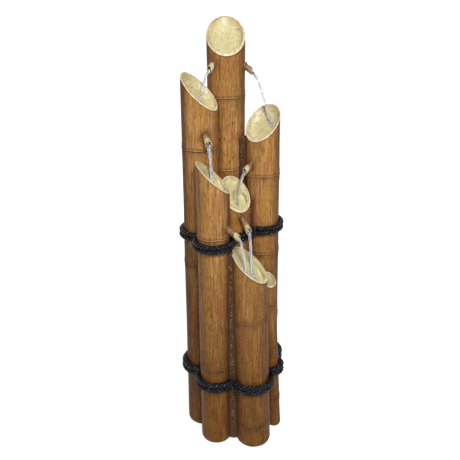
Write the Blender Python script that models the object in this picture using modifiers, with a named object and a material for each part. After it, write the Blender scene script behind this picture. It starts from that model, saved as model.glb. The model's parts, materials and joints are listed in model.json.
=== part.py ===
"""Bamboo water spout: seven slant-cut bamboo culms tied in a bundle with two black ropes.

A pump in the foot of the tall culm lifts water to the chamber behind its two branch spouts.
From there it falls from bowl to bowl and runs back through a pipe between the feet.
Metres, +Z up, front towards -Y.
"""
import math

import bmesh
import bpy
from mathutils import Matrix, Vector

# How far each mouth lies below the mouth that feeds it
LEFT_FALL = 0.0887
RIGHT_FALL = 0.1516
FRONT_LEFT_FALL = 0.1401
CENTRE_FALL = 0.1276
FRONT_RIGHT_FALL = 0.1703
THIN_FALL = 0.0538

# Culms: radius at foot and top, height of the mouth's centre, slope and bearing of the cut's
# high side, sideways lean, wall, and the heights of the node rings as shares of the mouth's
TALL = dict(foot=0.0365, top=0.0353, mouth=0.8081, slope=0.869, high=92.0, lean=0.0,
            wall=0.0040, nodes=(0.8672, 0.6986, 0.5259, 0.3589))
LEFT = dict(foot=0.0344, top=0.0334, mouth=TALL["mouth"] - LEFT_FALL, slope=0.932, high=157.0,
            lean=0.0074, wall=0.0038, nodes=(0.8590, 0.5379))
RIGHT = dict(foot=0.0331, top=0.0322, mouth=TALL["mouth"] - RIGHT_FALL, slope=0.900, high=53.5,
             lean=-0.0106, wall=0.0038, nodes=(0.8530, 0.6113, 0.3877))
FRONT_LEFT = dict(foot=0.0314, top=0.0307, mouth=LEFT["mouth"] - FRONT_LEFT_FALL, slope=0.923,
                  high=179.0, lean=0.0, wall=0.0036, nodes=(0.8182, 0.3194))
CENTRE = dict(foot=0.0286, top=0.0280, mouth=RIGHT["mouth"] - CENTRE_FALL, slope=0.979,
              high=118.0, lean=0.0, wall=0.0034, nodes=(0.6239,))
FRONT_RIGHT = dict(foot=0.0356, top=0.0330, mouth=FRONT_LEFT["mouth"] - FRONT_RIGHT_FALL,
                   slope=0.913, high=159.0, lean=-0.0258, wall=0.0038, nodes=(0.7220, 0.1281))
THIN = dict(foot=0.0149, top=0.0147, mouth=FRONT_RIGHT["mouth"] - THIN_FALL, slope=0.701,
            high=116.5, lean=-0.0507, wall=0.0026, nodes=(0.8587, 0.2224))
NODE_SWELL = 0.0011
NODE_HALF_HEIGHT = 0.0080
NODE_RIDGE = 0.0011
NODE_GROOVE_DEPTH_SHARE = 0.2
NODE_GROOVE_HEIGHT_SHARE = 0.8
FOOT_ROUNDING = 0.0050
FOOT_ROUNDING_SHARE = 0.6
JOINT_ABOVE_NODE = 0.0010
FLOOR = 0.0040
DIAPHRAGM = 0.0030
DIAPHRAGM_DROP = 0.0160
CULM_SIDES = 24
THIN_SIDES = 16

# Bundle: bearings from the centre culm and gaps between neighbours, where the high rope ties them
TIE_BELOW_CENTRE = 0.0764
THIN_TIE_ABOVE = 0.0048
TIE_HEIGHT = CENTRE["mouth"] - TIE_BELOW_CENTRE
THIN_TIE_HEIGHT = THIN["mouth"] + THIN_TIE_ABOVE
TALL_BEARING = 104.4
TALL_GAP = 0.0022
FRONT_LEFT_BEARING = 230.7
FRONT_LEFT_GAP = 0.0056
RIGHT_BEARING = 32.0
RIGHT_GAP = 0.0022
LEFT_TALL_GAP = 0.0026
LEFT_FRONT_GAP = 0.0022
FRONT_RIGHT_GAP = 0.0026
THIN_FRONT_GAP = 0.0085
THIN_RIGHT_GAP = 0.0024

# Bowls
FLANGE = 0.0020
COLLAR = 0.0042
BOWL_WALL = 0.0025
BOWL_DEPTH_SHARE = 0.55
BOWL_ROUNDNESS = 4
BOWL_LIP = 0.0012
DRAIN_RADIUS = 0.0028
DRAIN_MARGIN_SHARE = 1.6

# Spouts: bearing, drop below the middle of the mouth, dip below level, length outside the wall
TALL_LEFT_SPOUT = dict(bearing=230.0, drop=0.0485, dip=32.0, reach=0.0135)
TALL_RIGHT_SPOUT = dict(bearing=348.0, drop=0.0543, dip=33.0, reach=0.0160)
LEFT_SPOUT = dict(bearing=290.0, drop=0.0757, dip=32.0, reach=0.0195)
RIGHT_SPOUT = dict(bearing=221.0, drop=0.0759, dip=36.0, reach=0.0176)
FRONT_LEFT_SPOUT = dict(bearing=331.0, drop=0.0960, dip=31.0, reach=0.0256)
CENTRE_SPOUT = dict(bearing=297.5, drop=0.0425, dip=32.0, reach=0.0285)
SPOUT_RADIUS = 0.0060
SPOUT_BORE = 0.0040
SPOUT_TIP_SWELL = 0.0005
SPOUT_INSIDE = 0.0025
SPOUT_FLARE = 0.0006
SPOUT_FLARE_LENGTH = 0.0020
SPOUT_EDGE = 0.0004
SPOUT_EDGE_LENGTH = 0.0010
SPOUT_SWELL_START = 0.35
SPOUT_SIDES = 12

# Ropes
ROPE_RADIUS = 0.0045
ROPE_PITCH = 0.0096
ROPE_TURNS = 2
ROPE_DIP_RADIUS = 0.0080
HIGH_ROPE_HEIGHT = TIE_HEIGHT
LOW_ROPE_HEIGHT = 0.1493
ROPE_CLEARANCE = 0.0005
WIDE_GAP = 120.0
ROPE_ARC_STEP = 22.0
ROPE_DIP_STEP = 40.0

# Crevice filler
FILLER_BOTTOM = 0.0450
FILLER_PLAN_HEIGHT = 0.2400
FRONT_FILLER_ABOVE = 0.0060
RIGHT_FILLER_BELOW = 0.0252
REAR_FILLER_BELOW = 0.0289
LEFT_FILLER_BELOW = 0.0339
FRONT_FILLER_TOP = FRONT_RIGHT["mouth"] + FRONT_FILLER_ABOVE
RIGHT_FILLER_TOP = THIN["mouth"] - RIGHT_FILLER_BELOW
REAR_FILLER_TOP = CENTRE["mouth"] - REAR_FILLER_BELOW
LEFT_FILLER_TOP = CENTRE["mouth"] - LEFT_FILLER_BELOW

# Pump
PUMP_WIDTH = 0.0380
PUMP_HEIGHT = 0.0360
PUMP_BODY_BACK = -0.0170
PUMP_BODY_FRONT = 0.0120
PUMP_EDGE = 0.0030
FOOT_HEIGHT = 0.0055
FOOT_RADIUS = 0.0055
FOOT_STEM = 0.0016
FOOT_STEM_REACH = 0.0030
FOOT_CUP = 0.0012
FOOT_LIP = 0.0008
FOOT_LIP_HEIGHT = 0.0004
FOOT_NECK_RADIUS = 0.0028
FOOT_NECK_HEIGHT = 0.0026
FOOT_SHOULDER_RADIUS = 0.0026
FOOT_FROM_EDGE = 0.0015
VOLUTE_RADIUS = 0.0125
VOLUTE_DEPTH = 0.0095
ROTOR_WELL_RADIUS = 0.0098
ROTOR_RADIUS = 0.0090
ROTOR_LENGTH = 0.0150
IMPELLER_RADIUS = 0.0108
IMPELLER_BACKPLATE = 0.0014
VANE_HEIGHT = 0.0052
VANE_THICKNESS = 0.0012
VANE_COUNT = 6
SHAFT_RADIUS = 0.0012
RUNNING_GAP = 0.0004
ROTOR_EDGE = 0.0008
HUB_RADIUS = 0.0034
VANE_OVERLAP = 0.0002
VANE_ROOT = 0.0004
VANE_SWEEP = 12.0
SHAFT_SEAT = 0.0040
VOLUTE_LID = 0.0020
LID_MARGIN = 0.0015
LID_SHARE = 0.9
LID_EDGE = 0.0005
INTAKE_COUNT = 3
INTAKE_RADIUS = 0.0052
INTAKE_INSET = 0.0010
INTAKE_LENGTH = 0.0040
INTAKE_WIDTH = 0.0024
STRAINER_DEPTH = 0.0080
STRAINER_WALL = 0.0014
STRAINER_SLOTS = 7
STRAINER_SLOT_WIDTH = 0.0022
STRAINER_INSET = 0.0016
STRAINER_EDGE = 0.0016
STRAINER_MIDDLE_BAR = 0.0008
STRAINER_SIDE_SHARE = 2.2
STRAINER_END_SHARE = 4.0
DIAL_RADIUS = 0.0075
DIAL_THICKNESS = 0.0018
DIAL_ROOM = 0.0020
DIAL_BORDER = 0.0016
DIAL_EDGE = 0.0005
DIAL_PIVOT = 0.0022
DIAL_PIVOT_REACH = 0.0010
DIAL_RIB = 0.0020
DIAL_RIB_WIDTH = 0.0016
DIAL_RIB_SHORTER = 0.0030
DIAL_RIB_ROOT = 0.0005
OUTLET_RADIUS = 0.0047
OUTLET_BORE = 0.0032
OUTLET_HEIGHT = 0.0160
OUTLET_BARB = 0.0004
OUTLET_CHAMFER = 0.0006
BARB_TOP = 0.0020
BARB_FOOT = 0.0024
NECK_ROOT = 0.0040

# Riser hose and the plate that it passes under the header chamber
HOSE_WALL = 0.0014
HOSE_START_ABOVE_PUMP = 0.0015
HOSE_END_ABOVE_PLATE = 0.0080
CLIP_WALL = 0.0009
CLIP_HEIGHT = 0.0050
CLIP_TAB = 0.0060
CLIP_TAB_ROOT = 0.0008
CLIP_TAB_APART = 0.0018
CLIP_BELOW_OUTLET = 0.0090
PLATE_THICKNESS = 0.0030
PLATE_DROP = 0.0190
PLATE_LEDGE = 0.0020
GROMMET_FLANGE = 0.0022
GROMMET_LIP = 0.0014
GROMMET_LIP_HEIGHT = 0.0016
GROMMET_EDGE = 0.0006

# Return pipe between the feet of the front-right and tall culms
RETURN_HEIGHT = 0.0270
RETURN_RADIUS = 0.0055
RETURN_WALL = 0.0012
RETURN_INSIDE = 0.0040

# Access cover in the back of the tall culm, and the cord gland above it
ACCESS_WIDTH = 0.0410
ACCESS_BOTTOM = 0.0240
ACCESS_TOP = 0.0860
COVER_MARGIN = 0.0110
COVER_HALF_ANGLE = 45.0
COVER_THICKNESS = 0.0024
GASKET_THICKNESS = 0.0012
SCREW_RADIUS = 0.0015
SCREW_HEAD_RADIUS = 0.0034
SCREW_HEAD_HEIGHT = 0.0020
SCREW_SLOT = 0.0008
SCREW_SLOT_LENGTH = 0.0120
SCREW_DOME_SHARE = 0.7
SCREW_POINT_RADIUS = 0.0008
SCREW_POINT_LENGTH = 0.0010
OPENING_OUT_SHARE = 1.1
GLAND_HEIGHT = 0.1900
GLAND_RADIUS = 0.0060
GLAND_BORE = 0.0033
GLAND_FLANGE = 0.0020
GLAND_LIP = 0.0018
GLAND_EDGE = 0.0006
GLAND_INSIDE = 0.0012

# Lengths of the shapes that cut holes, and where they start
SHALLOW_CUT = 0.0080
THROUGH_CUT = 0.0200
WALL_CUT = 0.0300
DEEP_CUT = 0.0500
DRAIN_CUT = 0.0800
DRAIN_CUT_BELOW = 0.0700
SPOUT_CUT_OVER = 0.0100
SCREW_CUT_BEHIND = 0.0200
SKIN_ABOVE = 0.2000
SKIN_BELOW = 0.0200

CLEARANCE = 0.0003
MERGE = 0.00001

COLOURS = {
    "bamboo": ((0.40, 0.185, 0.065), 0.45, 0.0),
    "bowl": ((0.82, 0.72, 0.44), 0.40, 0.0),
    "stub": ((0.36, 0.17, 0.06), 0.50, 0.0),
    "rope": ((0.012, 0.012, 0.015), 0.55, 0.0),
    "filler": ((0.05, 0.035, 0.02), 0.90, 0.0),
    "pump_plastic": ((0.02, 0.02, 0.022), 0.40, 0.0),
    "clear_plastic": ((0.72, 0.76, 0.75), 0.25, 0.0),
    "rubber": ((0.03, 0.03, 0.03), 0.75, 0.0),
    "magnet": ((0.10, 0.10, 0.11), 0.50, 0.0),
    "ceramic": ((0.85, 0.85, 0.82), 0.30, 0.0),
    "steel": ((0.60, 0.60, 0.60), 0.30, 1.0),
}


def clear_scene():
    for ob in list(bpy.data.objects):
        bpy.data.objects.remove(ob, do_unlink=True)


def new_collection(name):
    group = bpy.data.collections.new(name)
    bpy.context.scene.collection.children.link(group)
    return group


def make_materials():
    for name, (colour, roughness, metallic) in COLOURS.items():
        mat = bpy.data.materials.new(name)
        mat.use_nodes = True
        shader = mat.node_tree.nodes["Principled BSDF"]
        shader.inputs["Base Color"].default_value = (*colour, 1.0)
        shader.inputs["Roughness"].default_value = roughness
        shader.inputs["Metallic"].default_value = metallic
        mat.diffuse_color = (*colour, 1.0)


def add_object(name, data, material=None, group=None):
    ob = bpy.data.objects.new(name, data)
    (group or PARTS).objects.link(ob)
    if material:
        data.materials.append(bpy.data.materials[material])
        ob.parent = FRAME
    return ob


def shade(mesh, angle=35.0):
    mesh.shade_smooth()
    mesh.set_sharp_from_angle(angle=math.radians(angle))


def evaluated_mesh(ob):
    """The object's evaluated mesh as new data; the object itself is removed."""
    bpy.context.view_layer.update()
    deps = bpy.context.evaluated_depsgraph_get()
    mesh = bpy.data.meshes.new_from_object(ob.evaluated_get(deps), depsgraph=deps)
    old = ob.data
    bpy.data.objects.remove(ob, do_unlink=True)
    if isinstance(old, bpy.types.Mesh):
        bpy.data.meshes.remove(old)
    else:
        bpy.data.curves.remove(old)
    mesh.materials.clear()
    return mesh


def turned_mesh(name, profile, steps, closed=False, angle=360.0):
    """A profile of (radius, height) points swept about +Z."""
    mesh = bpy.data.meshes.new(name)
    count = len(profile)
    edges = [(i, i + 1) for i in range(count - 1)]
    if closed:
        edges.append((count - 1, 0))
    mesh.from_pydata([(r, 0.0, z) for r, z in profile], edges, [])
    ob = add_object(name + "_profile", mesh, group=CUTTERS)
    screw = ob.modifiers.new("Screw", "SCREW")
    screw.axis = "Z"
    screw.angle = math.radians(angle)
    screw.steps = steps
    screw.render_steps = steps
    screw.use_merge_vertices = angle == 360.0
    screw.merge_threshold = MERGE
    screw.use_smooth_shade = False
    return evaluated_mesh(ob)


def turned(name, profile, steps, material, closed=False):
    mesh = turned_mesh(name, profile, steps, closed)
    mesh.name = name
    shade(mesh)
    return add_object(name, mesh, material)


def box_mesh(name, size, centre):
    bm = bmesh.new()
    bmesh.ops.create_cube(bm, size=1.0)
    bmesh.ops.scale(bm, vec=size, verts=bm.verts)
    bmesh.ops.translate(bm, vec=centre, verts=bm.verts)
    mesh = bpy.data.meshes.new(name)
    bm.to_mesh(mesh)
    bm.free()
    return mesh


def cylinder_mesh(name, radius, length, sides=16):
    """A cylinder about +Z, from z = 0 to its length."""
    bm = bmesh.new()
    bmesh.ops.create_cone(bm, cap_ends=True, segments=sides, radius1=radius, radius2=radius,
                          depth=length)
    bmesh.ops.translate(bm, vec=(0.0, 0.0, length / 2.0), verts=bm.verts)
    mesh = bpy.data.meshes.new(name)
    bm.to_mesh(mesh)
    bm.free()
    return mesh


def cutter(name, mesh):
    ob = add_object(name, mesh, group=CUTTERS)
    ob.hide_render = True
    ob.display_type = "WIRE"
    ob.parent = FRAME
    return ob


def cut(ob, tool, operation="DIFFERENCE"):
    mod = ob.modifiers.new(operation.title() + "_" + tool.name, "BOOLEAN")
    mod.operation = operation
    mod.solver = "EXACT"
    mod.object = tool
    return mod


def bevel(ob, width, segments=1, angle=40.0):
    mod = ob.modifiers.new("Bevel", "BEVEL")
    mod.width = width
    mod.segments = segments
    mod.limit_method = "ANGLE"
    mod.angle_limit = math.radians(angle)
    return mod


def direction(bearing, dip=0.0):
    b = math.radians(bearing)
    d = math.radians(dip)
    return Vector((math.cos(b) * math.cos(d), math.sin(b) * math.cos(d), -math.sin(d)))


def frame_along(origin, axis, up=Vector((0.0, 0.0, 1.0))):
    """Matrix whose +Z runs along the axis and whose +Y leans towards up."""
    z = axis.normalized()
    y = (up - z * up.dot(z)).normalized()
    x = y.cross(z)
    return Matrix.Translation(origin) @ Matrix((x, y, z)).transposed().to_4x4()


# Culm geometry that the other pieces fit


def radius_at(spec, z):
    return spec["foot"] + (spec["top"] - spec["foot"]) * z / spec["mouth"]


def bore(spec):
    return spec["top"] - spec["wall"]


def sides(spec):
    return THIN_SIDES if spec is THIN else CULM_SIDES


def axis_at(spec, z):
    """Point of the culm's leaning axis at a height."""
    return Vector((spec["x"] + spec["lean"] * z, spec["y"], z))


def tangent(a, reach_a, b, reach_b):
    """Point at the two distances from a and b, on the right of the way from a to b."""
    way = b - a
    gap = way.length
    along = (gap * gap + reach_a * reach_a - reach_b * reach_b) / (2.0 * gap)
    out = math.sqrt(max(reach_a * reach_a - along * along, 0.0))
    way.normalize()
    return a + way * along + Vector((way.y, -way.x, 0.0)) * out


def place(spec, point, height):
    spec["x"] = point.x - spec["lean"] * height
    spec["y"] = point.y


def reach(spec, height, gap):
    return radius_at(spec, height) + gap


def lay_out_bundle():
    h = TIE_HEIGHT
    place(CENTRE, Vector((0.0, 0.0, 0.0)), h)
    middle = radius_at(CENTRE, h)
    place(TALL, direction(TALL_BEARING) * (middle + reach(TALL, h, TALL_GAP)), h)
    place(RIGHT, direction(RIGHT_BEARING) * (middle + reach(RIGHT, h, RIGHT_GAP)), h)
    front = direction(FRONT_LEFT_BEARING) * (middle + reach(FRONT_LEFT, h, FRONT_LEFT_GAP))
    place(FRONT_LEFT, front, h)
    flat = Vector((1.0, 1.0, 0.0))
    tall = axis_at(TALL, h) * flat
    front = axis_at(FRONT_LEFT, h) * flat
    centre = axis_at(CENTRE, h) * flat
    own = radius_at(LEFT, h)
    place(LEFT, tangent(tall, own + reach(TALL, h, LEFT_TALL_GAP),
                        front, own + reach(FRONT_LEFT, h, LEFT_FRONT_GAP)), h)
    own = radius_at(FRONT_RIGHT, h)
    place(FRONT_RIGHT, tangent(front, own + reach(FRONT_LEFT, h, FRONT_RIGHT_GAP),
                               centre, own + reach(CENTRE, h, FRONT_RIGHT_GAP)), h)
    h = THIN_TIE_HEIGHT
    own = radius_at(THIN, h)
    near = axis_at(FRONT_RIGHT, h) * flat
    far = axis_at(RIGHT, h) * flat
    place(THIN, tangent(near, own + reach(FRONT_RIGHT, h, THIN_FRONT_GAP),
                        far, own + reach(RIGHT, h, THIN_RIGHT_GAP)), h)


def outer_profile(spec, top, offset=0.0, grooves=True, bottom=0.0):
    """Outer side of a culm between two heights, from the top down, with its node rings."""
    points = [(radius_at(spec, top) + offset, top)]
    for share in sorted(spec["nodes"], reverse=True):
        z = share * spec["mouth"]
        if not bottom < z < top:
            continue
        r = radius_at(spec, z) + offset
        top_edge = z + NODE_GROOVE_HEIGHT_SHARE * NODE_RIDGE
        points.append((r, z + NODE_HALF_HEIGHT))
        if grooves:
            points.append((r - NODE_GROOVE_DEPTH_SHARE * NODE_SWELL, top_edge))
        else:
            points.append((r + NODE_SWELL, top_edge))
        points.append((r + NODE_SWELL, z - NODE_RIDGE))
        points.append((r, z - NODE_HALF_HEIGHT))
    return points


def slant(mesh, spec, lowest):
    """Lean the culm, and tilt what lies above the lowest height to the slope of its cut."""
    b = math.radians(spec["high"])
    for v in mesh.vertices:
        if v.co.z > lowest:
            v.co.z += spec["slope"] * (v.co.x * math.cos(b) + v.co.y * math.sin(b))
        v.co.x += spec["lean"] * v.co.z


def foot_profile(spec):
    """Rounded outer edge of a culm's foot, down to the floor."""
    foot = radius_at(spec, 0.0)
    points = []
    for i in range(3):
        turn = math.radians(45.0 * i)
        points.append((foot - FOOT_ROUNDING_SHARE * FOOT_ROUNDING * (1.0 - math.cos(turn)),
                       FOOT_ROUNDING * (1.0 - math.sin(turn))))
    return points


def add_culm(name, spec, profile, rim=None, closed=False):
    mesh = turned_mesh(name, profile, sides(spec), closed)
    slant(mesh, spec, rim - 0.5 * FLANGE if rim else 2.0 * spec["mouth"])
    mesh.name = name
    shade(mesh)
    ob = add_object(name, mesh, "bamboo")
    ob.location = (spec["x"], spec["y"], 0.0)
    return ob


def culm(name, spec, chamber_floor):
    """A hollow culm: closed at its foot, or with a diaphragm and an open foot."""
    inner = bore(spec)
    rim = spec["mouth"] - FLANGE - CLEARANCE
    profile = [(0.0, chamber_floor), (inner, chamber_floor), (inner, rim)]
    profile += outer_profile(spec, rim) + foot_profile(spec)
    if chamber_floor > 2.0 * FLOOR:
        profile += [(inner, 0.0), (inner, chamber_floor - DIAPHRAGM)]
        profile.append((0.0, chamber_floor - DIAPHRAGM))
    else:
        profile.append((0.0, 0.0))
    return add_culm(name, spec, profile, rim)


def tall_lengths(spec):
    """The tall culm's two lengths: a tube with a ledge inside, on a closed foot for the pump."""
    inner = bore(spec)
    rim = spec["mouth"] - FLANGE - CLEARANCE
    joint = foot_joint(spec)
    ledge = plate_top() - PLATE_THICKNESS - CLEARANCE
    profile = [(inner - PLATE_LEDGE, joint + CLEARANCE), (inner - PLATE_LEDGE, ledge)]
    profile += [(inner, ledge), (inner, rim)]
    profile += outer_profile(spec, rim, bottom=joint)
    profile.append((radius_at(spec, joint), joint + CLEARANCE))
    upper = add_culm("tall_culm", spec, profile, rim, closed=True)
    profile = [(0.0, FLOOR), (inner - PLATE_LEDGE, FLOOR), (inner - PLATE_LEDGE, joint)]
    profile += outer_profile(spec, joint) + foot_profile(spec) + [(0.0, 0.0)]
    return upper, add_culm("tall_culm_foot", spec, profile)


def foot_joint(spec):
    """Height of the cut just above the culm's lowest node ring."""
    return spec["nodes"][-1] * spec["mouth"] + NODE_HALF_HEIGHT + JOINT_ABOVE_NODE


def bowl(name, spec):
    """A bowl whose flange covers the culm's slanting cut; its drain is at the low side."""
    plug = bore(spec) - CLEARANCE
    dish = plug - BOWL_LIP
    depth = BOWL_DEPTH_SHARE * dish
    under = depth + BOWL_WALL - COLLAR
    profile = []
    for share in (0.0, 0.5, 0.78, 0.93):
        profile.append((dish * share, -depth * (1.0 - share ** BOWL_ROUNDNESS)))
    profile.append((dish, 0.0))
    profile.append((spec["top"], 0.0))
    profile.append((spec["top"], -FLANGE))
    profile.append((plug, -FLANGE))
    for share in (1.0, 0.65, 0.0):
        profile.append((plug * share, -COLLAR - under * (1.0 - share ** BOWL_ROUNDNESS)))
    mesh = turned_mesh(name, profile, sides(spec))
    slant(mesh, spec, -1.0)
    mesh.name = name
    shade(mesh)
    ob = add_object(name, mesh, "bowl")
    ob.location = axis_at(spec, spec["mouth"])
    if spec is not THIN:
        steepness = spec["slope"] * dish / (BOWL_ROUNDNESS * depth)
        lowest = dish * steepness ** (1.0 / (BOWL_ROUNDNESS - 1))
        lowest = min(lowest, dish - DRAIN_MARGIN_SHARE * DRAIN_RADIUS)
        drain = cutter(name + "_drain", cylinder_mesh(name + "_drain", DRAIN_RADIUS, DRAIN_CUT, 12))
        drain.location = (ob.location - direction(spec["high"]) * lowest
                          - Vector((0.0, 0.0, DRAIN_CUT_BELOW)))
        cut(ob, drain)
    return ob


def spout_height(spec, data):
    return spec["mouth"] - data["drop"]


def spout_frame(spec, data):
    """Matrix of a spout: origin on the wall's outer side, +Z along its flow."""
    out = direction(data["bearing"])
    height = spout_height(spec, data)
    start = axis_at(spec, height) + out * radius_at(spec, height)
    return frame_along(start, direction(data["bearing"], data["dip"]))


def spout(name, spec, data, wall_piece):
    """A bored branch stub through the wall, its end cut upright."""
    dip = math.radians(data["dip"])
    taper = radius_at(spec, spout_height(spec, data)) - spec["top"]
    inside = spec["wall"] + SPOUT_INSIDE + taper
    start = -inside / math.cos(dip)
    end = data["reach"]
    tip = SPOUT_RADIUS + SPOUT_TIP_SWELL
    profile = [(SPOUT_BORE, start), (SPOUT_BORE, end - SPOUT_FLARE_LENGTH),
               (SPOUT_BORE + SPOUT_FLARE, end), (tip - SPOUT_EDGE, end),
               (tip, end - SPOUT_EDGE_LENGTH), (SPOUT_RADIUS, SPOUT_SWELL_START * end),
               (SPOUT_RADIUS, start)]
    mesh = turned_mesh(name, profile, SPOUT_SIDES, closed=True)
    for v in mesh.vertices:
        if v.co.z > 0.5 * end:
            v.co.z -= v.co.y * math.tan(dip)
    mesh.name = name
    shade(mesh)
    ob = add_object(name, mesh, "stub")
    ob.matrix_local = spout_frame(spec, data)
    length = 2.0 * inside + 2.0 * SPOUT_RADIUS + SPOUT_CUT_OVER
    hole = cutter(name + "_hole", cylinder_mesh(name + "_hole", SPOUT_RADIUS + CLEARANCE, length,
                                                SPOUT_SIDES))
    hole.matrix_local = spout_frame(spec, data) @ Matrix.Translation((0.0, 0.0, -length / 2.0))
    cut(wall_piece, hole)
    return ob


def ring_at(culms, height):
    """Culms that a rope at the height goes round; the centre one shows only in a wide gap."""
    around = []
    for spec in culms:
        if spec is not CENTRE and spec["mouth"] > height:
            way = axis_at(spec, height) - axis_at(CENTRE, height)
            around.append((math.atan2(way.y, way.x), spec))
    around.sort(key=lambda pair: pair[0])
    ring = []
    for i, (bearing, spec) in enumerate(around):
        ring.append(spec)
        following = around[(i + 1) % len(around)][0]
        if (following - bearing) % (2.0 * math.pi) > math.radians(WIDE_GAP):
            ring.append(CENTRE)
    first = ring.index(TALL)
    return ring[first:] + ring[:first]


def rope_loop(ring, height, radius):
    """One level loop round the culms, dipping into each groove with a rounded turn."""
    flat = Vector((1.0, 1.0, 0.0))
    centres = [axis_at(spec, height) * flat for spec in ring]
    arms = [radius_at(spec, height) + ROPE_CLEARANCE + radius for spec in ring]
    count = len(ring)
    dips = []
    for i in range(count):
        j = (i + 1) % count
        dips.append(tangent(centres[i], arms[i] + ROPE_DIP_RADIUS,
                            centres[j], arms[j] + ROPE_DIP_RADIUS))
    points = []
    for i in range(count):
        way_in = dips[i - 1] - centres[i]
        way_out = dips[i] - centres[i]
        start = math.atan2(way_in.y, way_in.x)
        span = (math.atan2(way_out.y, way_out.x) - start) % (2.0 * math.pi)
        steps = max(2, round(math.degrees(span) / ROPE_ARC_STEP))
        arm = arms[i] / math.cos(0.5 * span / steps)
        for k in range(steps + 1):
            a = start + span * k / steps
            points.append(centres[i] + arm * Vector((math.cos(a), math.sin(a), 0.0)))
        j = (i + 1) % count
        way_in = centres[i] - dips[i]
        way_out = centres[j] - dips[i]
        start = math.atan2(way_in.y, way_in.x)
        span = (start - math.atan2(way_out.y, way_out.x)) % (2.0 * math.pi)
        steps = max(2, round(math.degrees(span) / ROPE_DIP_STEP))
        for k in range(1, steps):
            a = start - span * k / steps
            points.append(dips[i] + ROPE_DIP_RADIUS * Vector((math.cos(a), math.sin(a), 0.0)))
    return points


def rope(name, ring, height):
    """One unbroken rope wound twice round the bundle, climbing a pitch a turn."""
    path = []
    for turn in range(ROPE_TURNS):
        base = height + (turn - ROPE_TURNS / 2.0) * ROPE_PITCH
        loop = rope_loop(ring, base + 0.5 * ROPE_PITCH, ROPE_RADIUS)
        for k, point in enumerate(loop):
            path.append(Vector((point.x, point.y, base + ROPE_PITCH * k / len(loop))))
    curve = bpy.data.curves.new(name, "CURVE")
    curve.dimensions = "3D"
    line = curve.splines.new("POLY")
    line.points.add(len(path) - 1)
    for point, place_at in zip(line.points, path):
        point.co = (*place_at, 1.0)
    curve.bevel_depth = ROPE_RADIUS
    curve.bevel_resolution = 1
    curve.use_fill_caps = True
    least = least_gap(path)
    print(f"{name}: {len(path)} points, least gap to itself {least * 1000:.2f} mm")
    return add_object(name, curve, "rope")


def least_gap(path):
    """Smallest clear distance between points of the rope that lie half a turn apart or more."""
    half = len(path) // (2 * ROPE_TURNS)
    least = 1.0
    for i, a in enumerate(path):
        for b in path[i + half:]:
            least = min(least, (a - b).length - 2.0 * ROPE_RADIUS)
    return least


def culm_skin(name, spec, offset):
    """A solid that a culm would fill, grown by the offset, to cut its neighbours with."""
    top = spec["mouth"] + SKIN_ABOVE
    profile = [(0.0, top)] + outer_profile(spec, top, offset, grooves=False)
    profile += [(radius_at(spec, -SKIN_BELOW) + offset, -SKIN_BELOW), (0.0, -SKIN_BELOW)]
    mesh = turned_mesh(name, profile, sides(spec))
    slant(mesh, spec, top + 1.0)
    ob = cutter(name, mesh)
    ob.location = (spec["x"], spec["y"], 0.0)
    return ob


def filler(name, ring, top, skins):
    """Mortar that fills the groove between neighbouring culms."""
    corners = [axis_at(spec, FILLER_PLAN_HEIGHT) for spec in ring]
    centroid = sum(corners, Vector()) / len(corners)
    outline = bpy.data.curves.new(name, "CURVE")
    outline.dimensions = "2D"
    outline.fill_mode = "BOTH"
    outline.extrude = (top - FILLER_BOTTOM) / 2.0
    line = outline.splines.new("POLY")
    line.points.add(len(corners) - 1)
    line.use_cyclic_u = True
    for point, corner in zip(line.points, corners):
        inset = corner + (centroid - corner).normalized() * 2.0 * CLEARANCE
        point.co = (inset.x, inset.y, 0.0, 1.0)
    mesh = evaluated_mesh(add_object(name + "_outline", outline, group=CUTTERS))
    bm = bmesh.new()
    bm.from_mesh(mesh)
    bmesh.ops.remove_doubles(bm, verts=bm.verts, dist=MERGE)
    bmesh.ops.recalc_face_normals(bm, faces=bm.faces)
    bm.to_mesh(mesh)
    bm.free()
    mesh.name = name
    ob = add_object(name, mesh, "filler")
    ob.location.z = (top + FILLER_BOTTOM) / 2.0
    for spec in ring:
        cut(ob, skins[spec["name"]])
    return ob


def pump_bottom():
    return FLOOR + CLEARANCE + FOOT_HEIGHT + CLEARANCE


def pump_axis():
    """Height of the pump's shaft above the ground."""
    return pump_bottom() + PUMP_HEIGHT / 2.0


def outlet_y():
    return PUMP_BODY_FRONT - VOLUTE_DEPTH / 2.0


def outlet_top():
    return pump_bottom() + PUMP_HEIGHT + OUTLET_HEIGHT


def in_tall(x, y, z):
    """A point given from the tall culm's foot."""
    return Vector((TALL["x"] + x, TALL["y"] + y, z))


def along_y(x, y, z):
    """Matrix at a point of the tall culm whose +Z runs back along +Y."""
    return frame_along(in_tall(x, y, z), Vector((0.0, 1.0, 0.0)))


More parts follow.
